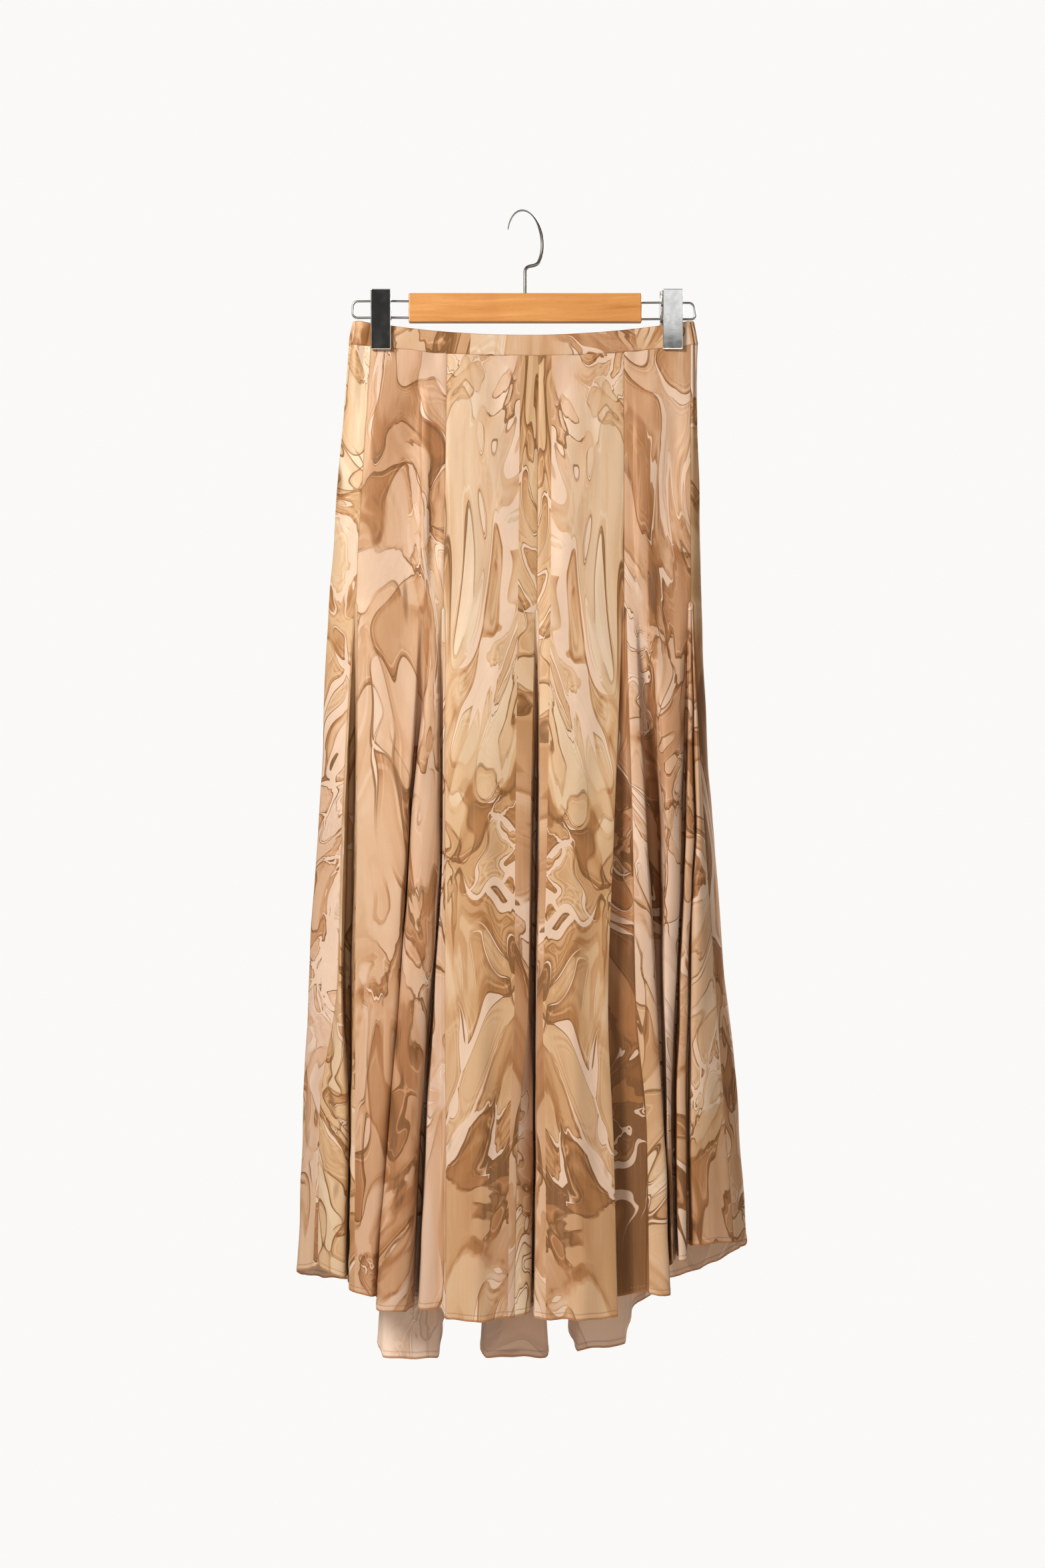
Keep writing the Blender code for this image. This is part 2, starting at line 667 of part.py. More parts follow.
def build_clip_plate(name, x, side, jaw_y):
    """A channel plate: its web outside, its flanges against the wires, a closed jaw on the band."""
    outer_bottom = jaw_y + CLIP_OUTER_BOTTOM - FRONT_JAW_Y
    outline = [
        (side * CLIP_OUTER_TOP, CLIP_TOP_Z),
        (side * (CLIP_WIRE_FACE + CLIP_EAR), CLIP_TOP_Z),
        (side * CLIP_WIRE_FACE, CLIP_TOP_Z - CLIP_SHOULDER),
        (side * CLIP_WIRE_FACE, CLIP_TOP_Z - CLIP_BEND_FROM),
        (side * jaw_y, CLIP_TOP_Z - CLIP_BEND_TO),
        (side * jaw_y, CLIP_BOTTOM_Z),
        (side * outer_bottom, CLIP_BOTTOM_Z),
    ]
    pocket = [
        (side * (CLIP_OUTER_TOP - CLIP_METAL), CLIP_TOP_Z - CLIP_METAL),
        (0.0, CLIP_TOP_Z - CLIP_METAL),
        (0.0, CLIP_BOTTOM_Z + CLIP_METAL),
        (side * (outer_bottom - CLIP_METAL), CLIP_BOTTOM_Z + CLIP_METAL),
    ]
    chrome = material(name + "_chrome", CHROME_FINISH)
    plate = prism(name, outline, CLIP_WIDTH / 2, x, chrome)
    cut(plate, prism(name + "_pocket", pocket, CLIP_WIDTH / 2 - CLIP_METAL, x, chrome))


def build_clips():
    for clip in CLIPS:
        build_clip_plate(f"clip_front_{clip.side}", clip.x, -1, FRONT_JAW_Y)
        build_clip_plate(f"clip_back_{clip.side}", clip.x + clip.back_shift, 1, BACK_JAW_Y)
        wire = next(w for w in WIRES if w.side == clip.side)
        cylinder(
            f"clip_spring_{clip.side}",
            PIN_RADIUS,
            CLIP_WIDTH - 2 * CLIP_METAL - abs(clip.back_shift) - 2 * HOLE_CLEARANCE,
            PIN_SIDES,
            (clip.x + clip.back_shift / 2, 0, (wire.upper_z + wire.lower_z) / 2),
            "X",
            material(f"spring_{clip.side}_steel", CHROME_FINISH),
        )


def main():
    for old in list(bpy.data.objects):
        bpy.data.objects.remove(old)
    build_skirt()
    build_waistband()
    build_bar()
    build_hook()
    for wire in WIRES:
        build_wire(wire)
    build_clips()


main()
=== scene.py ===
"""The looks of a long gored skirt that hangs from a wooden clip hanger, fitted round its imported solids."""
import math
from typing import NamedTuple

import bmesh
import bpy
import numpy as np
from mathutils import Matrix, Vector


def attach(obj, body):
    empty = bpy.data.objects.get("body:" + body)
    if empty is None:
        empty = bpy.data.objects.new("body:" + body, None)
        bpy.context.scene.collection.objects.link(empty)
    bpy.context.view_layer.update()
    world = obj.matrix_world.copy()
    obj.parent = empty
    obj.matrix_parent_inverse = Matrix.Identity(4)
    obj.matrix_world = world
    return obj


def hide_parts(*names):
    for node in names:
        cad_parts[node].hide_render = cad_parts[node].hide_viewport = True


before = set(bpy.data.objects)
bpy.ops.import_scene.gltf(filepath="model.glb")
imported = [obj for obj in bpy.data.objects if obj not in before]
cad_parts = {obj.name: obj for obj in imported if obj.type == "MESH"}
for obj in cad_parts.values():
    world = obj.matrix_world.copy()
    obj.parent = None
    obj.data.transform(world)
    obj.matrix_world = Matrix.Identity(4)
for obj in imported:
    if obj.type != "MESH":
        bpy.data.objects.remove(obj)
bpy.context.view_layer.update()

MM = 0.001
BODY = "root"

# The photograph's frame, and the size of one of its pixels at the hanger
PHOTO_WIDTH, PHOTO_HEIGHT = 1568, 2352
PIXEL = 0.675 * MM
HOOK_PIXEL = (788.0, 317.5)
CAMERA_DISTANCE = 3.0
SENSOR = 36.0

# Levels down the skirt, as shares of the way from the waist seam to the hem
WAIST, START, KNEE, CALF, ANKLE, HEM = 0.0, 0.275, 0.51, 0.69, 0.83, 1.0
JUST_ABOVE_START = START - 0.003
HEM_Z = -1090.0
HEM_BEND = 1.4

# Waist seam and band
SEAM_END_Z = -134.5
SEAM_SAG = 12.0
BAND_END_Z = -110.8
BAND_SAG = 14.5
SAG_REACH = 172.0
BAND_TAPER = 0.975

# Curvature of the cloth between two folds
ROUNDNESS = 0.8
SEAM_ROUNDING = 1.0
COLUMN_PITCH = 3.5
FEWEST_STEPS, MOST_STEPS = 4, 34
CROWDING = 0.6

# Gathers below the elastic back
GATHER_DEPTH = 2.4
GATHER_FADE = 0.075
GATHERS_PER_FOLD = 3
CLIPPED_AT = 147.5
CLIPPED_REACH = 22.0

# The thin shell that is shown: thickness, columns and rows
SHELL = 0.35
BAND_SHELL = 1.5
BAND_EDGE_SHARE = 0.45
CLOTH_SHARP = math.radians(50.0)
SEAM_DIP = 0.5
SEAM_WIDTH = 1.6
ROLLED_HEM = 7.0
ROLLED_EXTRA = 0.3
ROLLED_STEP = 0.8
LENGTH = 955.5
NEAR_WAIST = 0.05
TIP_WIDTH = 0.12
WAIST_ROWS, UPPER_ROWS, LOWER_ROWS = 12, 30, 96
HEM_ROWS = (10.0, 8.0, 7.0, 6.6, 6.0, 5.2, 3.6, 2.0, 0.8, 0.25, 0.0)
HEM_WAVE = 1.3
HEM_WAVE_REACH = 45.0
HEM_WAVES = (7.9, 4.3, 6.1)
HEM_EDGE = 0.6
HEM_EDGE_THINNER = 0.45
STITCH_LINE = 6.0
STITCH_PITCH = 3.3
STITCH_LENGTH = 2.2
STITCH_WIDTH = 0.32
STITCH_SUNK = 0.1
STITCH_DENT = 0.22
STITCH_DENT_WIDTH = 0.7
BAND_HEIGHT = 22.0
BAND_ROWS = (1.0, 0.985, 0.95, 0.9, 0.8, 0.65, 0.5, 0.35, 0.2, 0.1, 0.05, 0.015, 0.0)
BAND_EDGE = 0.07
CRIMPED_AT = 167.0
CRIMPED_REACH = 15.0
CRIMP_DEPTH = 1.8
CRIMP_PERIOD = 5.0

# Soft unevenness: period across, period down, height, all in millimetres
RIPPLES = (
    (61.0, 240.0, 0.75),
    (37.0, 133.0, 0.5),
    (23.0, 88.0, 0.28),
)
RIPPLE_EDGE = 14.0
CREASE_END = 0.22
CREASE_EDGE = 7.0
LEVEL_CREASE = 0.03
PLAIN_PUCKER = 0.10
PUCKER_REACH = 4.5
PUCKER_EDGE = 1.5
PUCKER_WAVES = (8.7, 5.3, 71.0)
PUCKERS = {
    "front_panel_1": 0.3,
    "side_godet_left": 0.75,
    "back_panel_1": 0.5,
}

# Light and surroundings
BACKGROUND = (0.961, 0.954, 0.940)
DISPLAY_GAMMA = 0.88
AMBIENT = (1.0, 0.945, 0.88)
AMBIENT_STRENGTH = 0.33
LIGHTS = (
    # name, place, aimed at, width, watts, colour
    ("key", (-1.5, -2.0, 0.75), (0.0, 0.0, -0.55), 0.9, 86.5, (1.0, 0.99, 0.975)),
    ("fill", (2.4, -2.4, -0.2), (0.0, 0.0, -0.6), 1.8, 6.0, (0.97, 0.98, 1.0)),
    ("front", (0.25, -2.95, -0.75), (0.0, 0.0, -0.6), 0.35, 10.0, (1.0, 0.74, 0.52)),
    ("rear", (1.9, 2.4, 0.9), (0.0, 0.0, -0.6), 1.2, 135.0, (1.0, 0.98, 0.96)),
)
WHITE = (1.0, 1.0, 1.0)
FLOOR_Z = -1.8
FLOOR_SIDE = 2.6
FLOOR_COLOUR = (0.86, 0.85, 0.83)
# Cards seen only in the metal: painted reflections on the clip plates, a dark one for the left clip, grey and
# glowing pale ones for the right
CARD_Y = -3.1
CARDS = (
    # name, x from, x to, z from, z to, shade, glow
    ("dark_card", -1.0, -0.05, 0.0, 1.2, 0.02, 0.022),
    ("grey_card", 0.1, 0.8, -0.5, 0.195, 0.06, 0.06),
    ("pale_card", 0.1, 0.8, 0.197, 0.9, 0.30, 0.66),
)

# A box's faces by its numbered corners, and the angle above which hard pieces keep an edge
BOX_FACES = ((0, 2, 3, 1), (4, 5, 7, 6), (0, 1, 5, 4), (2, 6, 7, 3), (0, 4, 6, 2), (1, 3, 7, 5))
SHARP_ANGLE = math.radians(40.0)

# Hanger bar
BAR_HALF_LENGTH = 117.8
BAR_TOP_Z = -83.4
BAR_HEIGHT = 29.0
BAR_THICKNESS = 13.0
BAR_EDGE_RADIUS = 1.3

# Hook: a stem, a tight bend and a round crook whose plane is turned from the bar's.
# Its strip is far narrower than the solid's, which is 8.7 wide.
HOOK_TURN = math.radians(54.0)
HOOK_RADIUS = 30.0
HOOK_SIDES = 28
STEM_DIAMETER = 3.4
STEM_DEPTH = 16.0
STRIP_WIDTH = 0.17
STRIP_THICKNESS = 2.0
STRIP_FROM = math.radians(20.0)
STRIP_FULL = math.radians(75.0)
CROOK_FROM = math.radians(-38.0)
CROOK_TO = math.radians(168.0)
CROOK_STEPS = 72
CROOK_Z = STRIP_THICKNESS / 2 - HOOK_RADIUS
STEM_BEND_STEPS = 24
STEM_STRAIGHT = 22.0
TIP_STEPS = 5
TIP_ROUND = 0.12

# Wires that stick out of the bar's ends and carry the clips
WIRE_DIAMETER = 2.3
WIRE_DEPTH = 10.0
WIRE_CORNER = 5.0
WIRE_CORNER_STEPS = 10
WIRE_SIDES = 16
WIRE_SWAY = 0.25


class Wire(NamedTuple):
    side: str
    end_x: float
    upper_z: float
    lower_z: float
    lean: float


WIRES = (
    Wire("left", -174.8, -90.8, -107.5, 0.4),
    Wire("right", 172.9, -92.4, -109.0, 2.2),
)


# Clips: two channel plates with a spring pin between them
CLIP_WIDTH = 20.4
CLIP_TOP_Z = -79.7
CLIP_BOTTOM_Z = -140.4
CLIP_METAL = 1.0
CLIP_WIRE_FACE = WIRE_DIAMETER / 2 + 0.3
CLIP_OUTER_TOP = 10.0
CLIP_OUTER_BOTTOM = 8.6
PIN_RADIUS = 3.2
CLIP_EDGE_RADIUS = 0.95
CLIP_EAR = 3.0
CLIP_SHOULDER = 5.0
CLIP_BEND_FROM = 26.0
CLIP_BEND_TO = 30.0
SPRING_WIRE = 1.3
SPRING_TURNS = 9
SPRING_STEPS = 20
SPRING_SIDES = 10


class Clip(NamedTuple):
    side: str
    x: float
    back_shift: float


CLIPS = (Clip("left", -145.8, 0.0), Clip("right", 149.2, -2.2))
FRONT_JAW_Y = 4.5
BACK_JAW_Y = 6.2


class Fold(NamedTuple):
    """One line down the cloth, a seam, ridge or valley: where it stands at each level, and its hem."""

    waist_x: float
    start_x: float
    knee_x: float
    calf_x: float
    ankle_x: float
    hem_x: float
    waist_y: float
    start_y: float
    knee_y: float
    hem_y: float
    hem_z: float


def straight(waist_x, start_x, hem_x, waist_y, start_y, knee_y, hem_y, hem_z):
    """A fold that runs straight from the godets' start to the hem, as on the unseen back."""
    between = [start_x + (hem_x - start_x) * (v - START) / (HEM - START) for v in (KNEE, CALF, ANKLE)]
    return Fold(waist_x, start_x, *between, hem_x, waist_y, start_y, knee_y, hem_y, hem_z)


class Piece(NamedTuple):
    """A cut piece: its own first seam, then its folds. It ends at the first seam of the next piece."""

    name: str
    kind: str
    folds: tuple


SKIRT = (
    # x: waist start knee calf ankle hem, y: waist start knee hem, z: hem
    Piece("side_godet_left", "godet", (
        Fold(-156, -172.6, -184.6, -189.4, -207, -209, -3, -10, -16, -20, -1063),
        Fold(-156, -171.9, -181.6, -185, -180, -181.5, -3, -11, -22, -38, -1074),
        Fold(-156, -171.2, -180, -182.9, -180.2, -182.8, -3, -11, 4, 0, -1070),
        Fold(-156, -170.2, -174.2, -176.9, -175.2, -177.4, -3, -11, 4, 0, -1074),
    )),
    Piece("front_panel_1", "panel", (
        Fold(-156, -169.2, -169.4, -172.1, -174.2, -176.2, -3, -12, -24, -42, -1084),
        Fold(-108, -108, -120.2, -131, -141.8, -153.2, -3, -17, -37, -58, -1088),
        Fold(-104, -104, -118.6, -128.6, -137.6, -148.6, -3, -17, -14, -26, -1094),
        Fold(-99.2, -99.2, -114.2, -123.4, -132, -143.2, -3, -17, -14, -26, -1098),
        Fold(-94.5, -95, -112.7, -124.5, -136.4, -148, -3, -17, -38, -60, -1101),
        Fold(-89, -89, -87.8, -98, -108.6, -116.4, -3, -17, -37, -63, -1103),
    )),
    Piece("front_godet_1", "godet", (
        Fold(-79, -84.2, -86.8, -96.6, -105.6, -112.4, -3, -17, -14, -14, -1096),
        Fold(-79, -83.2, -83.4, -92.6, -101, -107.6, -3, -17, -14, -14, -1096),
        Fold(-79, -82.4, -82.6, -91, -98.2, -104.2, -3, -17, -31, -58, -1100),
        Fold(-79, -81.5, -81.6, -84.4, -84.2, -84.4, -3, -17, -32, -60, -1101),
    )),
    Piece("front_panel_2", "panel", (
        Fold(-79, -80.6, -80.4, -80.3, -79, -79, -3, -17, -36, -68, -1109),
        Fold(-34, -35, -37, -38, -42, -44, -4, -21, -42, -72, -1111),
    )),
    Piece("front_godet_2", "godet", (
        Fold(13.4, 10, 5.4, 3, -7.4, -10.8, -3, -18, -36, -62, -1108),
        Fold(13.4, 10.9, 6.6, 4.6, 5.4, 5, -3, -18, -18, -54, -1105),
        Fold(13.4, 11.5, 7.8, 5.6, 6.4, 5.8, -3, -18, 2, -12, -1095),
        Fold(13.4, 12.7, 12, 9.6, 11, 10.8, -3, -18, 2, -12, -1095),
    )),
    Piece("front_panel_3", "panel", (
        Fold(13.4, 13.6, 14.2, 11.4, 11, 8.6, -3, -18, -37, -66, -1108),
        Fold(57, 54, 52, 48, 49, 50, -4, -21, -42, -72, -1110),
    )),
    Piece("front_godet_3", "godet", (
        Fold(99.9, 97.4, 89.1, 83, 88.4, 91.8, -3, -17, -36, -64, -1107),
        Fold(99.9, 98.8, 89.6, 82, 86, 88.6, -3, -17, -22, -40, -1092),
        Fold(99.9, 100.4, 106, 109, 119, 121, -3, -17, -20, -44, -1085),
    )),
    Piece("front_panel_4", "panel", (
        Fold(99.9, 101.8, 107.3, 110, 120.8, 122.9, -3, -17, -34, -58, -1086),
        Fold(108, 110.7, 120.8, 130.3, 137.7, 144.2, -3, -17, -34, -58, -1087),
        Fold(112.1, 114.8, 123.6, 131.6, 136.8, 140.4, -3, -16.5, -4, -22, -1075),
        Fold(117.5, 120.2, 135, 137, 140.4, 144.4, -3, -16, -4, -22, -1066),
        Fold(126.2, 131, 141.8, 139.5, 141.7, 146, -3, -15.5, -29, -50, -1057),
        Fold(149.9, 155.2, 155.9, 150.5, 145.5, 148.6, -3, -13.5, -25, -46, -1056),
    )),
    Piece("side_godet_right", "godet", (
        Fold(167.4, 164.4, 158.6, 152, 147.6, 150.2, -2.5, -12, -2, -10, -1052),
        Fold(167.4, 165.3, 161.8, 155.2, 150.8, 153.6, -2.5, -12, -2, -10, -1052),
        Fold(167.4, 166.1, 162.6, 156.2, 152, 153.4, -2.5, -12, -20, -44, -1056),
        Fold(167.4, 166.9, 168.6, 163.4, 160.4, 160.6, -2.5, -12, -19, -42, -1055),
        Fold(167.4, 167.6, 169.8, 164.8, 161.8, 162, -2.5, -11.5, -4, -12, -1046),
        Fold(167.4, 168.3, 172.8, 168.4, 165.4, 166.4, -2.5, -11.5, -4, -12, -1044),
        Fold(167.4, 169, 174.2, 170.8, 168.2, 168.4, -2.5, -11, -17, -34, -1041),
    )),
    # x: waist start hem, y: waist start knee hem, z: hem
    Piece("back_panel_4", "gathered", (
        Fold(167.4, 170, 180.4, 191.7, 199.8, 210.6, -2.5, -10, -12, -16, -1041),
        Fold(171.5, 178.6, 187.6, 201, 214, 224, 0.5, 0, 2, 4, -1043),
        straight(166, 173, 216, 3.4, 13, 26, 42, -1058),
        straight(132, 138, 182, 3.9, 19, 40, 70, -1082),
    )),
    Piece("back_godet_3", "godet", (
        straight(79, 83.6, 146, 5.5, 21, 46, 76, -1095),
        straight(79, 82.6, 109, 5.5, 21, 38, 50, -1122),
        straight(79, 81.8, 101, 5.5, 21, 26, 20, -1150),
        straight(79, 79.8, 54, 5.5, 21, 26, 18, -1157),
        straight(79, 78.8, 46, 5.5, 21, 38, 46, -1138),
    )),
    Piece("back_panel_3", "gathered", (
        straight(79, 78, 44, 5.5, 21, 46, 74, -1118),
        straight(60, 60, 49, 6, 23, 54, 98, -1113),
        straight(32, 32, 30, 6.2, 24, 58, 109, -1112),
        straight(6, 7, 8, 6, 23, 54, 99, -1114),
    )),
    Piece("back_godet_2", "godet", (
        straight(-15, -11.4, 11, 6, 21, 46, 74, -1120),
        straight(-15, -12.4, 18, 6, 21, 38, 46, -1146),
        straight(-15, -13.2, 20, 6, 21, 26, 20, -1163),
        straight(-15, -15.2, -40, 6, 21, 26, 18, -1163),
        straight(-15, -16.2, -42, 6, 21, 38, 46, -1146),
    )),
    Piece("back_panel_2", "gathered", (
        straight(-15, -17, -34, 6, 21, 46, 74, -1120),
        straight(-36, -37, -30, 6.2, 23, 54, 98, -1114),
        straight(-62, -63, -56, 6.2, 24, 58, 111, -1112),
        straight(-88, -90, -82, 6, 23, 54, 99, -1114),
    )),
    Piece("back_godet_1", "godet", (
        straight(-109, -109.6, -80, 5.5, 20, 46, 74, -1120),
        straight(-109, -110.6, -87, 5.5, 20, 38, 46, -1146),
        straight(-109, -111.4, -90, 5.5, 20, 26, 20, -1165),
        straight(-109, -113.4, -145, 5.5, 20, 26, 22, -1165),
        straight(-109, -114.4, -150, 5.5, 20, 38, 48, -1144),
    )),
    Piece("back_panel_1", "gathered", (
        straight(-109, -115.2, -146, 5.5, 20, 44, 72, -1112),
        straight(-132, -138, -164, 3.9, 22, 48, 92, -1100),
        straight(-154, -162, -196, 3.3, 20, 42, 84, -1094),
        straight(-172, -187, -220, 3.2, 14, 28, 50, -1086),
        Fold(-177, -199, -209.6, -221, -225.5, -230.5, 1, 3, 6, 12, -1076),
    )),
)


class Crease(NamedTuple):
    """A soft ridge (height above 0) or trough in a piece: from and to in shares across and down it."""

    piece: str
    across_from: float
    down_from: float
    across_to: float
    down_to: float
    height: float
    width: float


CREASES = (
    Crease("front_panel_1", 0.15, 0.02, 0.30, 0.42, 2.0, 11),
    Crease("front_panel_1", 0.55, 0.0, 0.62, 0.30, -1.8, 12),
    Crease("front_panel_1", 0.30, 0.45, 0.20, 0.98, 2.1, 13),
    Crease("front_panel_2", 0.20, 0.02, 0.28, 0.55, 1.4, 15),
    Crease("front_panel_2", 0.72, 0.30, 0.66, 0.95, -2.0, 16),
    Crease("front_panel_2", 0.05, 0.80, 0.60, 0.815, 1.0, 5),
    Crease("front_panel_2", 0.45, 0.55, 0.42, 1.0, 1.8, 14),
    Crease("front_panel_3", 0.30, 0.02, 0.26, 0.50, 1.5, 14),
    Crease("front_panel_3", 0.80, 0.25, 0.74, 0.90, -1.8, 15),
    Crease("front_panel_3", 0.50, 0.55, 0.60, 1.0, 2.0, 14),
    Crease("front_panel_4", 0.35, 0.0, 0.45, 0.35, 1.8, 11),
    Crease("front_panel_4", 0.75, 0.02, 0.70, 0.30, -1.5, 10),
    Crease("front_godet_2", 0.30, 0.30, 0.25, 1.0, 1.4, 9),
    Crease("front_godet_3", 0.55, 0.20, 0.60, 1.0, 1.8, 12),
    Crease("side_godet_right", 0.80, 0.25, 0.84, 1.0, 2.1, 13),
    Crease("side_godet_left", 0.20, 0.50, 0.16, 1.0, 1.5, 9),
    Crease("back_panel_1", 0.25, 0.10, 0.20, 0.90, 2.2, 16),
    Crease("back_panel_1", 0.60, 0.12, 0.66, 0.85, -2.4, 18),
    Crease("back_panel_1", 0.88, 0.05, 0.90, 0.60, 1.5, 10),
    Crease("back_panel_2", 0.35, 0.10, 0.30, 0.80, 2.1, 14),
    Crease("back_panel_2", 0.70, 0.15, 0.76, 0.95, -2.0, 14),
    Crease("back_panel_3", 0.25, 0.12, 0.32, 0.90, -2.1, 15),
    Crease("back_panel_3", 0.65, 0.10, 0.60, 0.70, 2.0, 13),
    Crease("back_panel_4", 0.30, 0.15, 0.34, 0.95, 2.2, 17),
    Crease("back_panel_4", 0.72, 0.10, 0.64, 0.75, -2.1, 15),
    Crease("back_godet_1", 0.45, 0.35, 0.50, 1.0, 1.8, 12),
    Crease("back_godet_2", 0.55, 0.30, 0.50, 1.0, -1.8, 12),
    Crease("back_godet_3", 0.50, 0.30, 0.55, 1.0, 2.0, 14),
)


class Print(NamedTuple):
    """Where a piece was laid on the printed cloth: shifts in metres, and whether it was laid face over."""

    across: float
    down: float
    mirrored: bool
    tone: float


PRINTS = {
    "front_panel_1": Print(0.935, 31.37, False, 0.54),
    "front_panel_2": Print(2.352, 36.85, False, 0.50),
    "front_panel_3": Print(2.350, 36.823, True, 0.49),
    "front_panel_4": Print(2.635, 38.22, False, 0.60),
    "front_godet_1": Print(1.105, 5.40, False, 0.70),
    "front_godet_2": Print(1.445, 6.20, True, 0.74),
    "front_godet_3": Print(1.785, 7.65, False, 0.16),
    "side_godet_left": Print(2.125, 8.35, False, 0.60),
    "side_godet_right": Print(2.465, 9.10, False, 0.52),
    "back_panel_1": Print(2.635, 10.3, False, 0.66),
    "back_panel_2": Print(2.975, 11.2, True, 0.50),
    "back_panel_3": Print(3.315, 12.4, False, 0.45),
    "back_panel_4": Print(3.655, 13.1, False, 0.42),
    "back_godet_1": Print(3.825, 14.6, False, 0.66),
    "back_godet_2": Print(4.165, 15.5, False, 0.30),
    "back_godet_3": Print(4.505, 16.3, True, 0.55),
    "waistband_front": Print(14.682, 33.77, False, 0.60),
    "waistband_back": Print(6.035, 20.0, False, 0.50),
}
# Painted shade: the print is darkened in the deep recess of front_panel_4, where the fold beside it keeps the
# key light off
PAINTED_RECESS_SHADE = (
    # piece, across from, across to, down from, down to, tone taken off
    ("front_panel_4", 0.33, 0.54, 0.16, 0.70, 0.42),
)
PAINTED_SHADE_SIDE = 0.05
PAINTED_SHADE_END = 0.10


def eased(t, rise, start, end):
    """How far a curve has come at t, from its whole rise and its slopes at both ends."""
    return t * start + t * t * (3 * rise - 2 * start - end) + t**3 * (start + end - 2 * rise)


def along(values, levels, v):
    """A value between levels, on a curve that is smooth but never overshoots them."""
    last = len(levels) - 1
    i = max(k for k in range(last) if levels[k] <= v or k == 0)
    steps = [levels[k + 1] - levels[k] for k in range(last)]
    slopes = [(values[k + 1] - values[k]) / steps[k] for k in range(last)]

    def tangent(k):
        if k in (0, last):
            return slopes[0] if k == 0 else slopes[-1]
        before, after = slopes[k - 1], slopes[k]
        if before * after <= 0:
            return 0.0
        return 2 * before * after / (before + after)

    t = (v - levels[i]) / steps[i]
    rise = values[i + 1] - values[i]
    start, end = tangent(i) * steps[i], tangent(i + 1) * steps[i]
    return values[i] + eased(t, rise, start, end)


def sag(x, end_z, depth):
    return end_z - depth * np.maximum(0.0, 1 - (x / SAG_REACH) ** 2)


def smooth(t):
    t = np.clip(t, 0.0, 1.0)
    return t * t * (3 - 2 * t)


def fold_point(fold, v):
    x = along(fold[0:6], (WAIST, START, KNEE, CALF, ANKLE, HEM), v)
    y = along(fold[6:10], (WAIST, START, KNEE, HEM), v)
    top = sag(fold.waist_x, SEAM_END_Z, SEAM_SAG)
    below_start = max(0.0, (v - START) / (HEM - START))
    return np.array((x, y, top + (HEM_Z - top) * v + (fold.hem_z - HEM_Z) * below_start**HEM_BEND))


def ring_stations(v):
    """The fold points round the skirt at a level, as (piece, point, is it a seam). Godets begin at START."""
    stations = []
    for i, piece in enumerate(SKIRT):
        if piece.kind == "godet" and v < START:
            continue
        points = [fold_point(fold, v) for fold in piece.folds]
        before = SKIRT[i - 1]
        if before.kind == "godet" and v < START:
            points[0] = (points[0] + fold_point(before.folds[0], v)) / 2
        stations += [(piece, point, k == 0) for k, point in enumerate(points)]
    return stations


def unit(vectors):
    return vectors / np.maximum(np.linalg.norm(vectors, axis=-1, keepdims=True), 1e-9)


def ring_normals(points):
    """Unit outward normals, level, at each point of a closed ring."""
    arriving = unit((points - np.roll(points, 1, axis=0))[:, :2])
    leaving = unit((np.roll(points, -1, axis=0) - points)[:, :2])
    way = unit(arriving + leaving)
    return np.column_stack((way[:, 1], -way[:, 0], np.zeros(len(points))))


def segment_steps():
    """How many columns each stretch between two folds gets, by its length at the hem."""
    stations = ring_stations(HEM)
    steps = {}
    for i, (piece, point, _) in enumerate(stations):
        reach = np.linalg.norm((stations[(i + 1) % len(stations)][1] - point)[:2])
        mine = steps.setdefault(piece.name, [])
        mine.append(int(np.clip(round(reach / COLUMN_PITCH), FEWEST_STEPS, MOST_STEPS)))
    return steps


def fold_shares(steps):
    """Places between two folds, closer together beside the folds, where the cloth turns."""
    even = np.arange(steps) / steps
    return even * (1 - CROWDING) + smooth(even) * CROWDING


def dense_ring(v, steps):
    """The whole ring at one level as a fine closed curve, with each point's piece and place in it."""
    stations = ring_stations(v)
    points = np.array([point for _, point, _ in stations])
    seams = np.array([seam for _, _, seam in stations])
    to_next = np.roll(points, -1, axis=0) - points
    reach = np.linalg.norm(to_next[:, :2], axis=1)
    shorter = np.minimum(reach, np.roll(reach, 1))
    length = np.where(seams, np.minimum(shorter, SEAM_ROUNDING), shorter * ROUNDNESS)
    tangents = unit((np.roll(points, -1, axis=0) - np.roll(points, 1, axis=0))[:, :2]) * length[:, None]
    ring, names, places = [], [], []
    seen = {}
    for i, (piece, point, _) in enumerate(stations):
        fold = seen.get(piece.name, 0)
        seen[piece.name] = fold + 1
        t = fold_shares(steps[piece.name][fold])[:, None]
        rise = to_next[i, :2]
        start, end = tangents[i], tangents[(i + 1) % len(stations)]
        flat = point[:2] + eased(t, rise, start, end)
        ring.append(np.hstack((flat, point[2] + t * to_next[i, 2])))
        names += [piece.name] * len(t)
        places += list(fold + t[:, 0])
    return np.vstack(ring), np.array(names), np.array(places)


def gather_shift(v, place, x, total):
    """How far the gathered cloth stands out or in, at a place counted in folds along its piece."""
    k = place * GATHERS_PER_FOLD
    uneven = 1 + 0.35 * np.sin(2.3 * k + 0.7)
    pressed = np.minimum(1.0, np.abs(np.abs(x) - CLIPPED_AT) / CLIPPED_REACH)
    from_seam = smooth(np.minimum(place, total - place) * GATHERS_PER_FOLD)
    return -GATHER_DEPTH * uneven * pressed * from_seam * math.exp(-v / GATHER_FADE) * np.cos(math.pi * k)


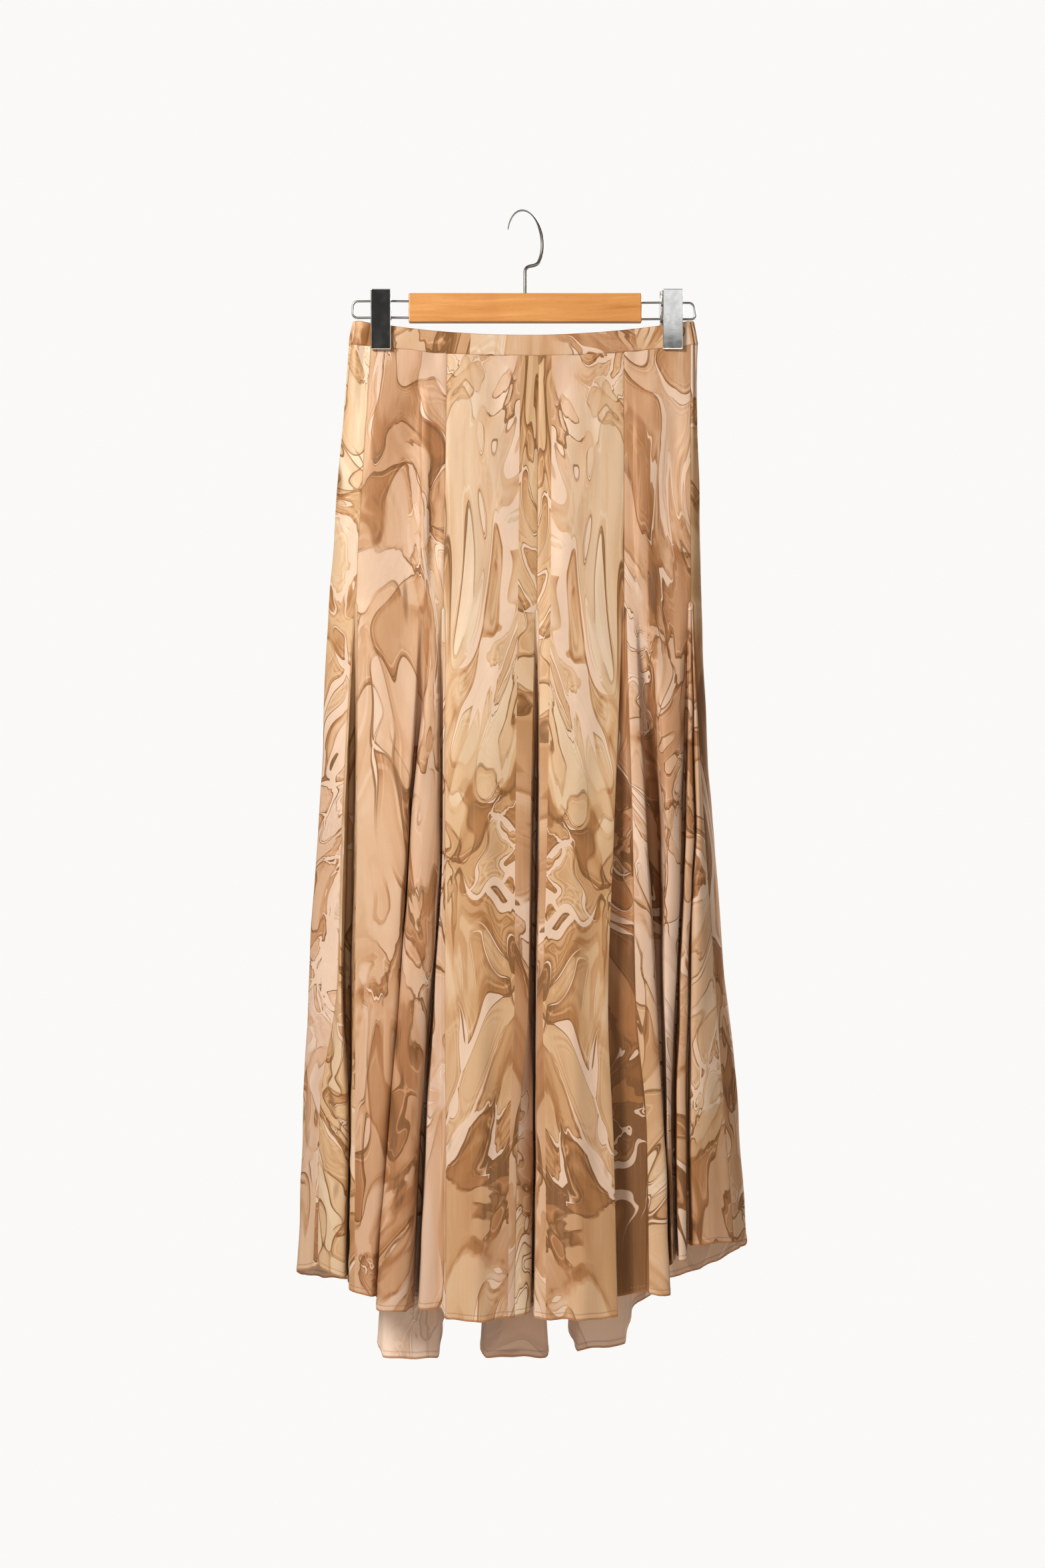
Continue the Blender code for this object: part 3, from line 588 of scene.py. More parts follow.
def piece_curves(v, steps):
    """Each piece's points and outward normals at one level, from its first seam to the next piece's."""
    ring, names, places = dense_ring(v, steps)
    normals = ring_normals(ring)
    kinds = {piece.name: piece.kind for piece in SKIRT}
    for name in kinds:
        mine = names == name
        if kinds[name] == "gathered":
            shift = gather_shift(v, places[mine], ring[mine, 0], len(steps[name]))
            ring[mine] += normals[mine] * shift[:, None]
    normals = ring_normals(ring)
    curves = {}
    for piece in SKIRT:
        mine = np.flatnonzero(names == piece.name)
        if not len(mine):
            continue
        first = next(k for k in mine if names[k - 1] != piece.name)
        wanted = (first + np.arange(len(mine) + 1)) % len(ring)
        curves[piece.name] = (ring[wanted], normals[wanted])
    return curves


class Sheet(NamedTuple):
    """A piece's middle surface: points and normals by row and column, and places on the flat cloth."""

    points: np.ndarray
    normals: np.ndarray
    across: np.ndarray
    down: np.ndarray
    from_seam: np.ndarray
    to_hem: np.ndarray


def level_list():
    """The levels of the rows: closest at the waist, at the godets' tips and in the rolled hem."""
    hem_top = HEM - HEM_ROWS[0] / LENGTH
    levels = list(np.linspace(WAIST, NEAR_WAIST, WAIST_ROWS, endpoint=False))
    levels += list(np.linspace(NEAR_WAIST, JUST_ABOVE_START, UPPER_ROWS, endpoint=False)) + [JUST_ABOVE_START]
    levels += list(np.linspace(START, hem_top, LOWER_ROWS, endpoint=False))
    levels += [HEM - distance / LENGTH for distance in HEM_ROWS]
    return levels


def godet_tips(rows):
    """The point and normal where each godet begins: the foot of the seam that it parts."""
    tips = {}
    for piece, after in zip(SKIRT, SKIRT[1:] + SKIRT[:1]):
        if piece.kind == "godet":
            _, points, normals = rows[after.name][-1]
            tips[piece.name] = (points[0], normals[0])
    return tips


def slim_row(tip, points):
    """A godet's first row: the next row's points drawn together at the seam's foot."""
    point, normal = tip
    drawn = point + (points - points.mean(axis=0)) * TIP_WIDTH
    return JUST_ABOVE_START, drawn, np.repeat(normal[None], len(points), axis=0)


def middle_sheets():
    """Every skirt piece's middle surface, in millimetres."""
    steps = segment_steps()
    rows = {piece.name: [] for piece in SKIRT}
    tips = {}
    for v in level_list():
        for name, (points, normals) in piece_curves(v, steps).items():
            if name in tips:
                rows[name].append(slim_row(tips.pop(name), points))
            rows[name].append((v, points, normals))
        if v == JUST_ABOVE_START:
            tips = godet_tips(rows)
    sheets = {}
    for name, levels in rows.items():
        points = np.array([points for _, points, _ in levels])
        normals = np.array([normals for _, _, normals in levels])
        side = np.linalg.norm(np.diff(points, axis=1), axis=2)
        arc = np.hstack((np.zeros((len(points), 1)), np.cumsum(side, axis=1)))
        total = arc[:, -1:]
        v = np.array([v for v, _, _ in levels])[:, None]
        down = np.repeat(v * LENGTH, points.shape[1], axis=1)
        from_seam = np.minimum(arc, total - arc)
        sheets[name] = Sheet(points, normals, arc - total / 2, down, from_seam, LENGTH - down)
    return sheets


def crease_height(sheet, crease):
    """One soft crease: a ridge or trough along a line, fading out at both ends."""
    v = sheet.down / LENGTH
    share = (v - crease.down_from) / (crease.down_to - crease.down_from)
    row_width = sheet.across[:, -1:] - sheet.across[:, :1]
    line = (crease.across_from + (crease.across_to - crease.across_from) * share - 0.5) * row_width
    sway = crease.width * 0.35 * np.sin(5.1 * share + 2.7 * crease.across_from)
    away = (sheet.across - line - sway) / (crease.width * (0.75 + 0.25 * share))
    fade = smooth(share / CREASE_END) * smooth((1 - share) / CREASE_END)
    if crease.down_to >= HEM:
        fade = smooth(share / CREASE_END)
    swell = 1 + 0.3 * np.sin(9.0 * share + 4.0 * crease.across_from)
    return crease.height * fade * swell * np.exp(-away * away) * ((share >= 0) & (share <= 1))


def level_crease_height(sheet, crease):
    """A crease that runs across the piece, such as a press mark."""
    row_width = sheet.across[:, -1:] - sheet.across[:, :1]
    share = (sheet.across / row_width + 0.5 - crease.across_from) / (crease.across_to - crease.across_from)
    line = (crease.down_from + (crease.down_to - crease.down_from) * share) * LENGTH
    away = (sheet.down - line) / crease.width
    fade = smooth(share / CREASE_END) * smooth((1 - share) / CREASE_END)
    return crease.height * fade * np.exp(-away * away) * ((share >= 0) & (share <= 1))


def ripple(sheet, seed):
    """Small soft unevenness all over a piece, none at its seams."""
    height = np.zeros(sheet.across.shape)
    for period_across, period_down, size in RIPPLES:
        turn = seed * 1.7 + period_down * 0.013
        wander = 1.3 * np.sin(sheet.down / (period_down * 0.83) + 2.1 * turn)
        across = sheet.across / period_across * 2 * math.pi + wander + turn
        height += size * np.sin(across) * np.sin(sheet.down / period_down * 2 * math.pi + 3.3 * turn)
    return height * smooth(sheet.from_seam / RIPPLE_EDGE)


def pucker(sheet, seed, strength):
    """The fine waves that a seam's tight thread draws in the cloth beside it."""
    long, short, swell = (sheet.down / wave for wave in PUCKER_WAVES)
    wave = np.sin(long + seed) + 0.7 * np.sin(short + 2.3 * seed)
    uneven = 0.55 + 0.45 * np.sin(swell + 1.9 * seed)
    beside = np.exp(-sheet.from_seam / PUCKER_REACH) * smooth(sheet.from_seam / PUCKER_EDGE)
    return strength * wave * uneven * beside


def shaped(name, sheet, seed):
    """How far a piece's surface stands out from the plain form, in millimetres."""
    height = ripple(sheet, seed)
    for crease in CREASES:
        if crease.piece == name:
            level = abs(crease.down_to - crease.down_from) < LEVEL_CREASE
            height = height + (level_crease_height if level else crease_height)(sheet, crease)
    height = height * smooth(sheet.from_seam / CREASE_EDGE)
    height = height + pucker(sheet, seed, PUCKERS.get(name, PLAIN_PUCKER))
    return height - SEAM_DIP * np.exp(-((sheet.from_seam / SEAM_WIDTH) ** 2))


def hem_wave(sheet, seed):
    """How far the hem lifts and curls outward along its edge, in millimetres: up, and out."""
    low = np.exp(-sheet.to_hem / HEM_WAVE_REACH) * smooth(sheet.from_seam / RIPPLE_EDGE)
    long, short, curl = (sheet.across / wave for wave in HEM_WAVES)
    lift = np.sin(long + 1.7 * seed) + 0.6 * np.sin(short + 0.9 * seed)
    return HEM_WAVE * low * lift * 0.6, HEM_WAVE * low * np.cos(curl + 2.3 * seed)


def shell_thickness(sheet):
    """Half the cloth's thickness: it is turned up and stitched at the hem."""
    turned = smooth((ROLLED_HEM - sheet.to_hem) / ROLLED_STEP)
    stitched = np.exp(-(((sheet.to_hem - STITCH_LINE) / STITCH_DENT_WIDTH) ** 2))
    rounded = 1 - HEM_EDGE_THINNER * smooth(1 - sheet.to_hem / HEM_EDGE)
    return (SHELL / 2 + ROLLED_EXTRA * turned) * rounded - STITCH_DENT * stitched


def grid_faces(rows, columns):
    """Corner indices of a grid's cells, row by row."""
    corner = np.arange(rows * columns).reshape(rows, columns)
    a, b, c, d = corner[:-1, :-1], corner[1:, :-1], corner[1:, 1:], corner[:-1, 1:]
    return np.stack((a, b, c, d), axis=-1).reshape(-1, 4)


def rim_loop(rows, columns):
    """The corner indices round a grid's edge, once round."""
    corner = np.arange(rows * columns).reshape(rows, columns)
    return np.concatenate((corner[0, :-1], corner[:-1, -1], corner[-1, :0:-1], corner[:0:-1, 0]))


def area_of(points):
    one = np.cross(points[1:, :-1] - points[:-1, :-1], points[1:, 1:] - points[:-1, :-1])
    two = np.cross(points[1:, 1:] - points[:-1, :-1], points[:-1, 1:] - points[:-1, :-1])
    return (np.linalg.norm(one, axis=-1).sum() + np.linalg.norm(two, axis=-1).sum()) / 2


def new_object(name, points, faces, finishes):
    """A mesh object in the scene, from points in metres."""
    mesh = bpy.data.meshes.new(name)
    mesh.from_pydata(points, [], faces)
    for finish in finishes:
        mesh.materials.append(finish)
    made = bpy.data.objects.new(name, mesh)
    bpy.context.scene.collection.objects.link(made)
    return made


def cloth_object(name, outer, inner, places, attributes, finishes):
    """A closed thin shell from two grids of points, its places on the flat cloth as a UV map."""
    rows, columns = outer.shape[:2]
    half = rows * columns
    points = np.vstack((outer.reshape(-1, 3), inner.reshape(-1, 3))) * MM
    front = grid_faces(rows, columns)
    rim = rim_loop(rows, columns)
    after = np.roll(rim, -1)
    edge = np.stack((rim, after, after + half, rim + half), axis=-1)
    faces = np.vstack((front, front[:, ::-1] + half, edge))
    made = new_object(name, points.tolist(), faces.tolist(), finishes)
    mesh = made.data
    slots = np.zeros(len(faces), np.int32)
    slots[len(front):2 * len(front)] = 1
    mesh.polygons.foreach_set("material_index", slots)
    mesh.shade_smooth()
    mesh.set_sharp_from_angle(angle=CLOTH_SHARP)
    loops = np.empty(len(mesh.loops), np.int32)
    mesh.loops.foreach_get("vertex_index", loops)
    flat = np.tile(places.reshape(-1, 2), (2, 1))
    layer = mesh.uv_layers.new(name="cloth")
    layer.data.foreach_set("uv", flat[loops].astype(np.float32).ravel())
    for label, values in attributes.items():
        stored = mesh.attributes.new(label, "FLOAT", "POINT")
        stored.data.foreach_set("value", np.tile(values.ravel(), 2).astype(np.float32))
    return made


def placed_on_print(name, across, down):
    """Where a piece's points lie on the printed cloth, in metres."""
    laid = PRINTS[name]
    side = -1.0 if laid.mirrored else 1.0
    return np.stack((across * MM * side + laid.across, down * MM + laid.down), axis=-1)


def tone_with_painted_shade(name, sheet):
    """A piece's tone, with painted shade darkening it in the deep recesses that are listed."""
    tone = np.full(sheet.down.shape, PRINTS[name].tone)
    share = sheet.across / (sheet.across[:, -1:] - sheet.across[:, :1]) + 0.5
    v = sheet.down / LENGTH
    for piece, across_from, across_to, down_from, down_to, darker in PAINTED_RECESS_SHADE:
        if piece == name:
            side = smooth((share - across_from) / PAINTED_SHADE_SIDE) * smooth((across_to - share) / PAINTED_SHADE_SIDE)
            end = smooth((v - down_from) / PAINTED_SHADE_END) * smooth((down_to - v) / PAINTED_SHADE_END)
            # Painted shade in the recess, where the fold keeps the key light off
            tone -= darker * side * end
    return tone


def held_by(piece):
    """What a piece hangs from: a godet from the panel before it, a panel from its half of the band."""
    if piece.kind == "godet":
        return SKIRT[SKIRT.index(piece) - 1].name + "_cloth"
    side = "front" if piece.name.startswith("front") else "back"
    return f"waistband_{side}_cloth"


def build_skirt(sheets, finishes):
    """Each piece of the skirt as a thin shell, and the line that its hem's stitches follow."""
    made, stitch_lines = {}, []
    stitch_row = -HEM_ROWS[::-1].index(STITCH_LINE) - 1
    for seed, piece in enumerate(SKIRT):
        sheet = sheets[piece.name]
        lift, curl = hem_wave(sheet, seed)
        height = (shaped(piece.name, sheet, seed + 1.0) + curl)[..., None]
        half = sheet.normals * shell_thickness(sheet)[..., None]
        centre = sheet.points + sheet.normals * height
        centre[..., 2] += lift
        outer, inner = centre + half, centre - half
        places = placed_on_print(piece.name, sheet.across, sheet.down)
        attributes = {
            "to_hem": sheet.to_hem,
            "from_seam": sheet.from_seam,
            # The tone attribute carries each piece's tone and the painted shade in its deep recesses
            "tone": tone_with_painted_shade(piece.name, sheet),
        }
        cloth = cloth_object(piece.name + "_cloth", outer, inner, places, attributes, finishes)
        hold(cloth, piece.name)
        width = float((sheet.across[:, -1] - sheet.across[:, 0]).max()) * MM
        length = float(np.linalg.norm(np.diff(centre, axis=0), axis=2).sum(axis=0).max()) * MM
        made[piece.name] = (cloth, (width, length), held_by(piece), area_of(centre) * MM * MM)
        stitch_lines.append((outer[stitch_row], sheet.normals[stitch_row]))
    return made, stitch_lines


def joined(sheets, names, field):
    """The waist row of several pieces end to end, with each shared seam once."""
    rows = [getattr(sheets[name], field)[0] for name in names]
    return np.vstack([row[:-1] for row in rows] + [rows[-1][-1:]])


def arc_along(path):
    """Each point's distance along a path."""
    return np.concatenate(([0.0], np.cumsum(np.linalg.norm(np.diff(path, axis=0), axis=1))))


def build_waistbands(sheets, finishes):
    """Both halves of the band, standing on the waist ring, with rounded edges and their elastic puckers."""
    made = {}
    shares = np.array(BAND_ROWS)[:, None]
    edge = np.minimum(shares, 1 - shares)
    half = BAND_SHELL / 2 * (BAND_EDGE_SHARE + (1 - BAND_EDGE_SHARE) * smooth(edge / BAND_EDGE))
    for side in ("front", "back"):
        band = "waistband_" + side
        names = [piece.name for piece in SKIRT if piece.kind != "godet" and piece.name.startswith(side)]
        ring = joined(sheets, names, "points")
        x, y, low = (np.repeat(ring[None, :, c], len(shares), axis=0) for c in range(3))
        high = sag(x, BAND_END_Z, BAND_SAG)
        tapered = x * (1 + (BAND_TAPER - 1) * shares)
        points = np.stack((tapered, y, low + (high - low) * shares), axis=-1)
        out = np.repeat(joined(sheets, names, "normals")[None], len(shares), axis=0)
        crimped = np.exp(-(((x + CRIMPED_AT) / CRIMPED_REACH) ** 2)) * np.sqrt(4 * shares * (1 - shares))
        crimp = CRIMP_DEPTH * crimped * np.sin(x / CRIMP_PERIOD * 2 * math.pi)
        points = points + out * crimp[..., None]
        thick = out * half[..., None]
        arc = arc_along(ring)
        across = np.repeat((arc - arc[-1] / 2)[None], len(shares), axis=0)
        attributes = {
            "to_hem": np.full(across.shape, LENGTH),
            "from_seam": np.repeat(edge * BAND_HEIGHT, len(ring), axis=1),
            "tone": np.full(across.shape, PRINTS[band].tone),
        }
        places = placed_on_print(band, across, points[..., 2] - low)
        cloth = cloth_object(band + "_cloth", points + thick, points - thick, places, attributes, finishes)
        hold(cloth, band)
        flat = (float(arc[-1]) * MM, float((high - low).max()) * MM)
        made[band] = (cloth, flat, None, area_of(points) * MM * MM)
    return made


def at(path, arc, distance):
    """The point at a distance along a path."""
    return np.array([np.interp(distance, arc, path[:, c]) for c in range(3)])


def box_corners(low, high):
    """A box's eight corners, in the order in which BOX_FACES counts them."""
    return [(x, y, z) for z in (low[2], high[2]) for y in (low[1], high[1]) for x in (low[0], high[0])]


def build_stitches(lines, finish):
    """One joined mesh of the short stitches all round the hem."""
    low = (-STITCH_LENGTH / 2, -STITCH_WIDTH / 2, -STITCH_SUNK)
    high = (STITCH_LENGTH / 2, STITCH_WIDTH / 2, STITCH_WIDTH - STITCH_SUNK)
    corners = np.array(box_corners(low, high))
    points, faces = [], []
    for path, normals in lines:
        arc = arc_along(path)
        for middle in np.arange(STITCH_PITCH, arc[-1] - STITCH_PITCH / 2, STITCH_PITCH):
            before, after = at(path, arc, middle - 0.5), at(path, arc, middle + 0.5)
            way = unit(after - before)
            out = unit(at(normals, arc, middle))
            faces.append(np.array(BOX_FACES) + 8 * len(points))
            points.append((before + after) / 2 + corners @ np.array((way, np.cross(way, out), out)))
    return new_object("hem_stitches", (np.vstack(points) * MM).tolist(), np.vstack(faces).tolist(), [finish])


def hold(piece, node):
    """A piece rides on the part's one body and stands for its CAD node."""
    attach(piece, BODY)
    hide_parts(node)


class Value:
    """What a node gives. Each operator adds one math node and gives back its result."""

    def __init__(self, graph, socket):
        self.graph = graph
        self.socket = socket

    def __add__(self, other):
        return self.graph.math("ADD", self, other)

    def __sub__(self, other):
        return self.graph.math("SUBTRACT", self, other)

    def __rsub__(self, other):
        return self.graph.math("SUBTRACT", other, self)

    def __mul__(self, other):
        return self.graph.math("MULTIPLY", self, other)

    def __truediv__(self, other):
        return self.graph.math("DIVIDE", self, other)

    def __neg__(self):
        return self * -1.0

    def __abs__(self):
        return self.graph.math("ABSOLUTE", self)


class Graph:
    """The nodes of a new material or world. Each call adds a node or a few, and gives back a Value."""

    def __init__(self, name, kind="materials"):
        self.owner = getattr(bpy.data, kind).new(name)
        self.owner.use_nodes = True
        self.tree = self.owner.node_tree

    def put(self, socket, value):
        """Links a result to a socket, or sets the socket to a plain value. Colours are opaque."""
        if isinstance(value, Value):
            self.tree.links.new(value.socket, socket)
        elif socket.type == "RGBA":
            socket.default_value = (*value, 1.0)
        else:
            socket.default_value = value

    def node(self, kind, **settings):
        made = self.tree.nodes.new("ShaderNode" + kind)
        for name, value in settings.items():
            setattr(made, name, value)
        return made

    def fed(self, node, *values, output=0):
        """Gives a node its inputs in order, and returns one of its outputs."""
        for socket, value in zip(node.inputs, values):
            self.put(socket, value)
        return Value(self, node.outputs[output])

    def named(self, node, output=0, **values):
        """Gives a node its inputs by name, with _ for a space, and returns one of its outputs."""
        for label, value in values.items():
            self.put(node.inputs[label.replace("_", " ")], value)
        return Value(self, node.outputs[output])

    def math(self, operation, *values):
        return self.fed(self.node("Math", operation=operation), *values)

    def vector(self, operation, *values):
        return self.fed(self.node("VectorMath", operation=operation), *values)

    def noise(self, place, scale, detail=1.0, roughness=0.5, output="Fac"):
        node = self.node("TexNoise")
        return self.named(node, output, Vector=place, Scale=scale, Detail=detail, Roughness=roughness)

    def stretched(self, place, scales, detail=1.0):
        """Noise with its own scale along each axis."""
        return self.noise(self.vector("MULTIPLY", place, scales), 1.0, detail)

    def warped(self, place, scale, amount):
        """The place, pushed about by soft noise."""
        push = self.vector("SUBTRACT", self.noise(place, scale, output="Color"), (0.5, 0.5, 0.5))
        scaled = self.named(self.node("VectorMath", operation="SCALE"), Vector=push, Scale=amount)
        return self.vector("ADD", place, scaled)

    def step(self, value, low, high, start=0.0, end=1.0):
        """Goes smoothly from start to end as the value goes from low to high."""
        node = self.node("MapRange", interpolation_type="SMOOTHSTEP")
        return self.fed(node, value, low, high, start, end)

    def mix(self, share, a, b, blend="MIX"):
        node = self.node("Mix", data_type="RGBA", blend_type=blend)
        for index, value in ((0, share), (6, a), (7, b)):
            self.put(node.inputs[index], value)
        return Value(self, node.outputs[2])

    def ramp(self, value, stops):
        """A colour ramp from (place, colour) stops."""
        node = self.node("ValToRGB")
        ramp = node.color_ramp
        ramp.interpolation = "EASE"
        while len(ramp.elements) < len(stops):
            ramp.elements.new(1.0)
        for element, (place, colour) in zip(ramp.elements, stops):
            element.position = place
            element.color = (*colour, 1.0)
        return self.fed(node, value)

    def read(self, kind, output=0, **settings):
        """What a node without inputs gives, such as a UV map."""
        return Value(self, self.node(kind, **settings).outputs[output])

    def attribute(self, name):
        return self.read("Attribute", "Fac", attribute_name=name)

    def bump(self, height, strength, distance, **under):
        """Relief from a height, over the Normal that is under it where one is given."""
        node = self.node("Bump")
        return self.named(node, "Normal", Height=height, Strength=strength, Distance=distance, **under)

    def finish(self, **values):
        """Sets the shader's own sockets and gives back the material."""
        self.named(self.tree.nodes["Principled BSDF"], **values)
        return self.owner


# The printed cloth's colours, palest first
CREAM = (0.63, 0.485, 0.382)
PINK_BEIGE = (0.582, 0.412, 0.300)
SAND = (0.550, 0.355, 0.229)
TAN = (0.473, 0.272, 0.150)
BROWN = (0.345, 0.160, 0.066)
MAUVE_BROWN = (0.21, 0.098, 0.042)
OUTLINE_BROWN = (0.19, 0.09, 0.030)
HEM_RUST = (0.34, 0.14, 0.045)
WRONG_SIDE = (0.88, 0.70, 0.58)
WARM_SHEEN = (0.85, 0.50, 0.28)
WARM_GLOSS = (1.0, 0.78, 0.58)
ROSE_CAST = (0.955, 0.972, 1.01)
STRAW_CAST = (0.97, 1.025, 0.955)
POOL_TONES = (
    (0.10, MAUVE_BROWN), (0.28, BROWN), (0.45, TAN), (0.62, SAND), (0.82, PINK_BEIGE), (1.0, CREAM)
)

# The other finishes
THREAD_TONES = ((0.3, (0.30, 0.15, 0.07)), (0.7, (0.46, 0.27, 0.14)))
WOOD_TONES = ((0.32, (0.44, 0.18, 0.046)), (0.50, (0.59, 0.29, 0.088)), (0.68, (0.70, 0.38, 0.14)))
WOOD_RED = (0.49, 0.185, 0.045)
WOOD_PORE = (0.33, 0.12, 0.03)
WOOD_WORN = (0.42, 0.15, 0.035)
METALS = {
    # colour, smoothest, roughest, relief
    "hook chrome": ((0.25, 0.238, 0.222), 0.44, 0.54, 0.03),
    "wire chrome": ((0.34, 0.336, 0.33), 0.34, 0.46, 0.05),
    "clip chrome": ((0.86, 0.87, 0.87), 0.05, 0.12, 0.02),
    "spring steel": ((0.42, 0.41, 0.40), 0.28, 0.40, 0.05),
}

# The print is laid in strips side by side, and its forms are drawn out down its length
PRINT_STRIP = 0.17
STRIPS_APART = 1.3
DRAWN_OUT = 0.5

# Lines and edges of the print, in metres
SLOPE_STEP = 0.0008
LEAST_SLOPE = 0.22
SHARP_EDGE, SOFT_EDGE = 0.0004, 0.0055
OUTLINE_HALF, OUTLINE_SOFT = 0.00015, 0.0005
ECHO_AWAY, ECHO_HALF, ECHO_SOFT = 0.0038, 0.0002, 0.0008
RING_SPACING = 0.0065
RINGS_FADE_FROM, RINGS_FADE_TO = 0.005, 0.024
RING_TONE = 0.13


class Pools(NamedTuple):
    """One size of colour pool: noise per metre, its seed, its channels' widths and wet edge, its tint."""

    per_metre: float
    seed: float
    narrow: float
    wide: float
    tint: float
    wet_reach: float


LARGE_POOLS = Pools(8.5, 0.0, -0.0022, 0.0056, 0.20, 0.014)
MIDDLE_POOLS = Pools(19.0, 3.7, -0.0014, 0.0040, 0.21, 0.009)
SMALL_POOLS = Pools(42.0, 8.1, -0.0006, 0.0026, 0.21, 0.005)


def distance_to_edge(graph, place, pools):
    """Signed distance in metres from the edge of a pool, above 0 inside it."""
    here, beside, below = (
        graph.noise(graph.vector("ADD", place, (*step, pools.seed)), pools.per_metre, 0.0)
        for step in ((0.0, 0.0), (SLOPE_STEP, 0.0), (0.0, SLOPE_STEP))
    )
    across, down = (beside - here) / SLOPE_STEP, (below - here) / SLOPE_STEP
    steep = graph.math("SQRT", across * across + down * down)
    return (here - 0.5) / graph.math("MAXIMUM", steep, pools.per_metre * LEAST_SLOPE)


def band(graph, value, middle, half_width, soft):
    """1 within half_width of the middle, 0 outside, with soft sides."""
    return graph.step(abs(value - middle) - half_width, 0.0, soft, 1.0, 0.0)


def pool_layer(graph, place, pools, opened, drawn):
    """Tone, channel and outline of one layer of pools of thinned colour."""
    edge = distance_to_edge(graph, place, pools)
    width = opened * (pools.wide - pools.narrow) + pools.narrow
    channel = band(graph, edge, 0.0, width, SHARP_EDGE)
    soft = graph.step(drawn, 0.0, 0.5, SOFT_EDGE, SHARP_EDGE)
    inside = graph.step(edge, -soft, soft, pools.tint * 0.5, pools.tint * -0.5)
    wet = graph.step(edge, 0.0, pools.wet_reach, pools.tint * -0.7, pools.tint * 0.15)
    wet = wet * graph.step(edge, -soft, soft)
    beyond = graph.math("MAXIMUM", width, 0.0)
    line = band(graph, abs(edge), beyond + SHARP_EDGE, OUTLINE_HALF, OUTLINE_SOFT)
    echo = band(graph, edge, beyond + ECHO_AWAY, ECHO_HALF, ECHO_SOFT)
    rings = graph.math("SINE", edge * (2 * math.pi / RING_SPACING))
    near = graph.step(abs(edge), RINGS_FADE_FROM, RINGS_FADE_TO, RING_TONE, 0.0)
    tone = inside + wet + echo * (drawn * 0.2) + rings * near * opened
    return tone, channel, line * drawn


def brush_marks(graph, place):
    """Scattered short strokes, darkest at their middles."""
    marks = graph.node("TexVoronoi")
    placed = graph.vector("MULTIPLY", place, (34.0, 14.0, 1.0))
    away = graph.named(marks, "Distance", Vector=placed, Scale=1.0, Randomness=0.9)
    chosen = graph.fed(graph.node("SeparateColor"), Value(graph, marks.outputs["Color"]))
    return graph.step(away, 0.05, 0.20, 1.0, 0.0) * graph.step(chosen, 0.80, 0.81)


def marble(graph):
    """A marbled print: flat pools of thinned colour, with pale channels and fine outlines between them."""
    cloth = graph.read("UVMap", uv_map="cloth")
    parts = graph.node("SeparateXYZ")
    across, down = graph.fed(parts, cloth), Value(graph, parts.outputs[1])
    strip = graph.math("FLOOR", across / PRINT_STRIP)
    place = graph.fed(graph.node("CombineXYZ"), across, down * DRAWN_OUT, strip * STRIPS_APART)
    bent = graph.warped(place, 4.2, 0.30)
    frilled = graph.step(graph.noise(bent, 14.0), 0.46, 0.60, 0.0, 0.010)
    curled = graph.warped(graph.warped(bent, 13.0, 0.085), 95.0, frilled)
    broad = graph.noise(bent, 4.4)
    opened = graph.step(graph.noise(curled, 12.0), 0.46, 0.70)
    drawn = graph.step(graph.noise(curled, 21.0), 0.38, 0.58, 0.05, 1.0)
    busy = graph.step(graph.noise(bent, 7.0), 0.45, 0.48)
    # The tone attribute holds each piece's tone and the painted shade in its deep recesses
    tone = graph.attribute("tone")
    channel, line = 0.0, 0.0
    for pools, share in ((LARGE_POOLS, 1.0), (MIDDLE_POOLS, 1.0), (SMALL_POOLS, busy)):
        layer_tone, layer_channel, layer_line = pool_layer(graph, curled, pools, opened, drawn)
        tone = tone + layer_tone * share
        channel = graph.math("MAXIMUM", channel, layer_channel * share)
        line = graph.math("MAXIMUM", line, layer_line * share)
    bleed = graph.stretched(curled, (22.0, 16.0, 1.0), 2.0)
    streak = graph.stretched(curled, (75.0, 9.0, 1.0), 2.0)
    streaked = graph.step(graph.noise(bent, 5.5), 0.46, 0.62, 0.15, 0.65)
    tone = tone + (broad - 0.5) * 0.72 + (bleed - 0.5) * 0.42 + (streak - 0.5) * streaked
    cast = graph.mix(graph.step(graph.noise(place, 3.2), 0.38, 0.62), ROSE_CAST, STRAW_CAST)
    colour = graph.mix(1.0, graph.ramp(tone, POOL_TONES), cast, "MULTIPLY")
    colour = graph.mix(channel * 0.9, colour, CREAM)
    colour = graph.mix(line * (1.0 - channel), colour, OUTLINE_BROWN)
    return graph.mix(brush_marks(graph, bent) * 0.7, colour, OUTLINE_BROWN), cloth


def weave(graph, place):
    """Fine slubby threads both ways, as a height."""
    down_threads = graph.stretched(place, (1500.0, 45.0, 1.0))
    across_threads = graph.stretched(place, (60.0, 1300.0, 1.0))
    return down_threads + across_threads * 0.7


def sewn_marks(graph, colour):
    """The rust edge of the rolled hem and the darker fine line along every seam."""
    to_hem = graph.attribute("to_hem")
    hem = graph.step(to_hem, 1.2, 2.8, 0.72, 0.0)
    turned = graph.step(abs(to_hem - STITCH_LINE), 0.3, 1.0, 0.22, 0.0)
    seam = graph.step(graph.attribute("from_seam"), 0.15, 1.0, 0.42, 0.0)
    colour = graph.mix(hem, colour, HEM_RUST)
    return graph.mix(graph.math("MAXIMUM", turned, seam), colour, OUTLINE_BROWN)


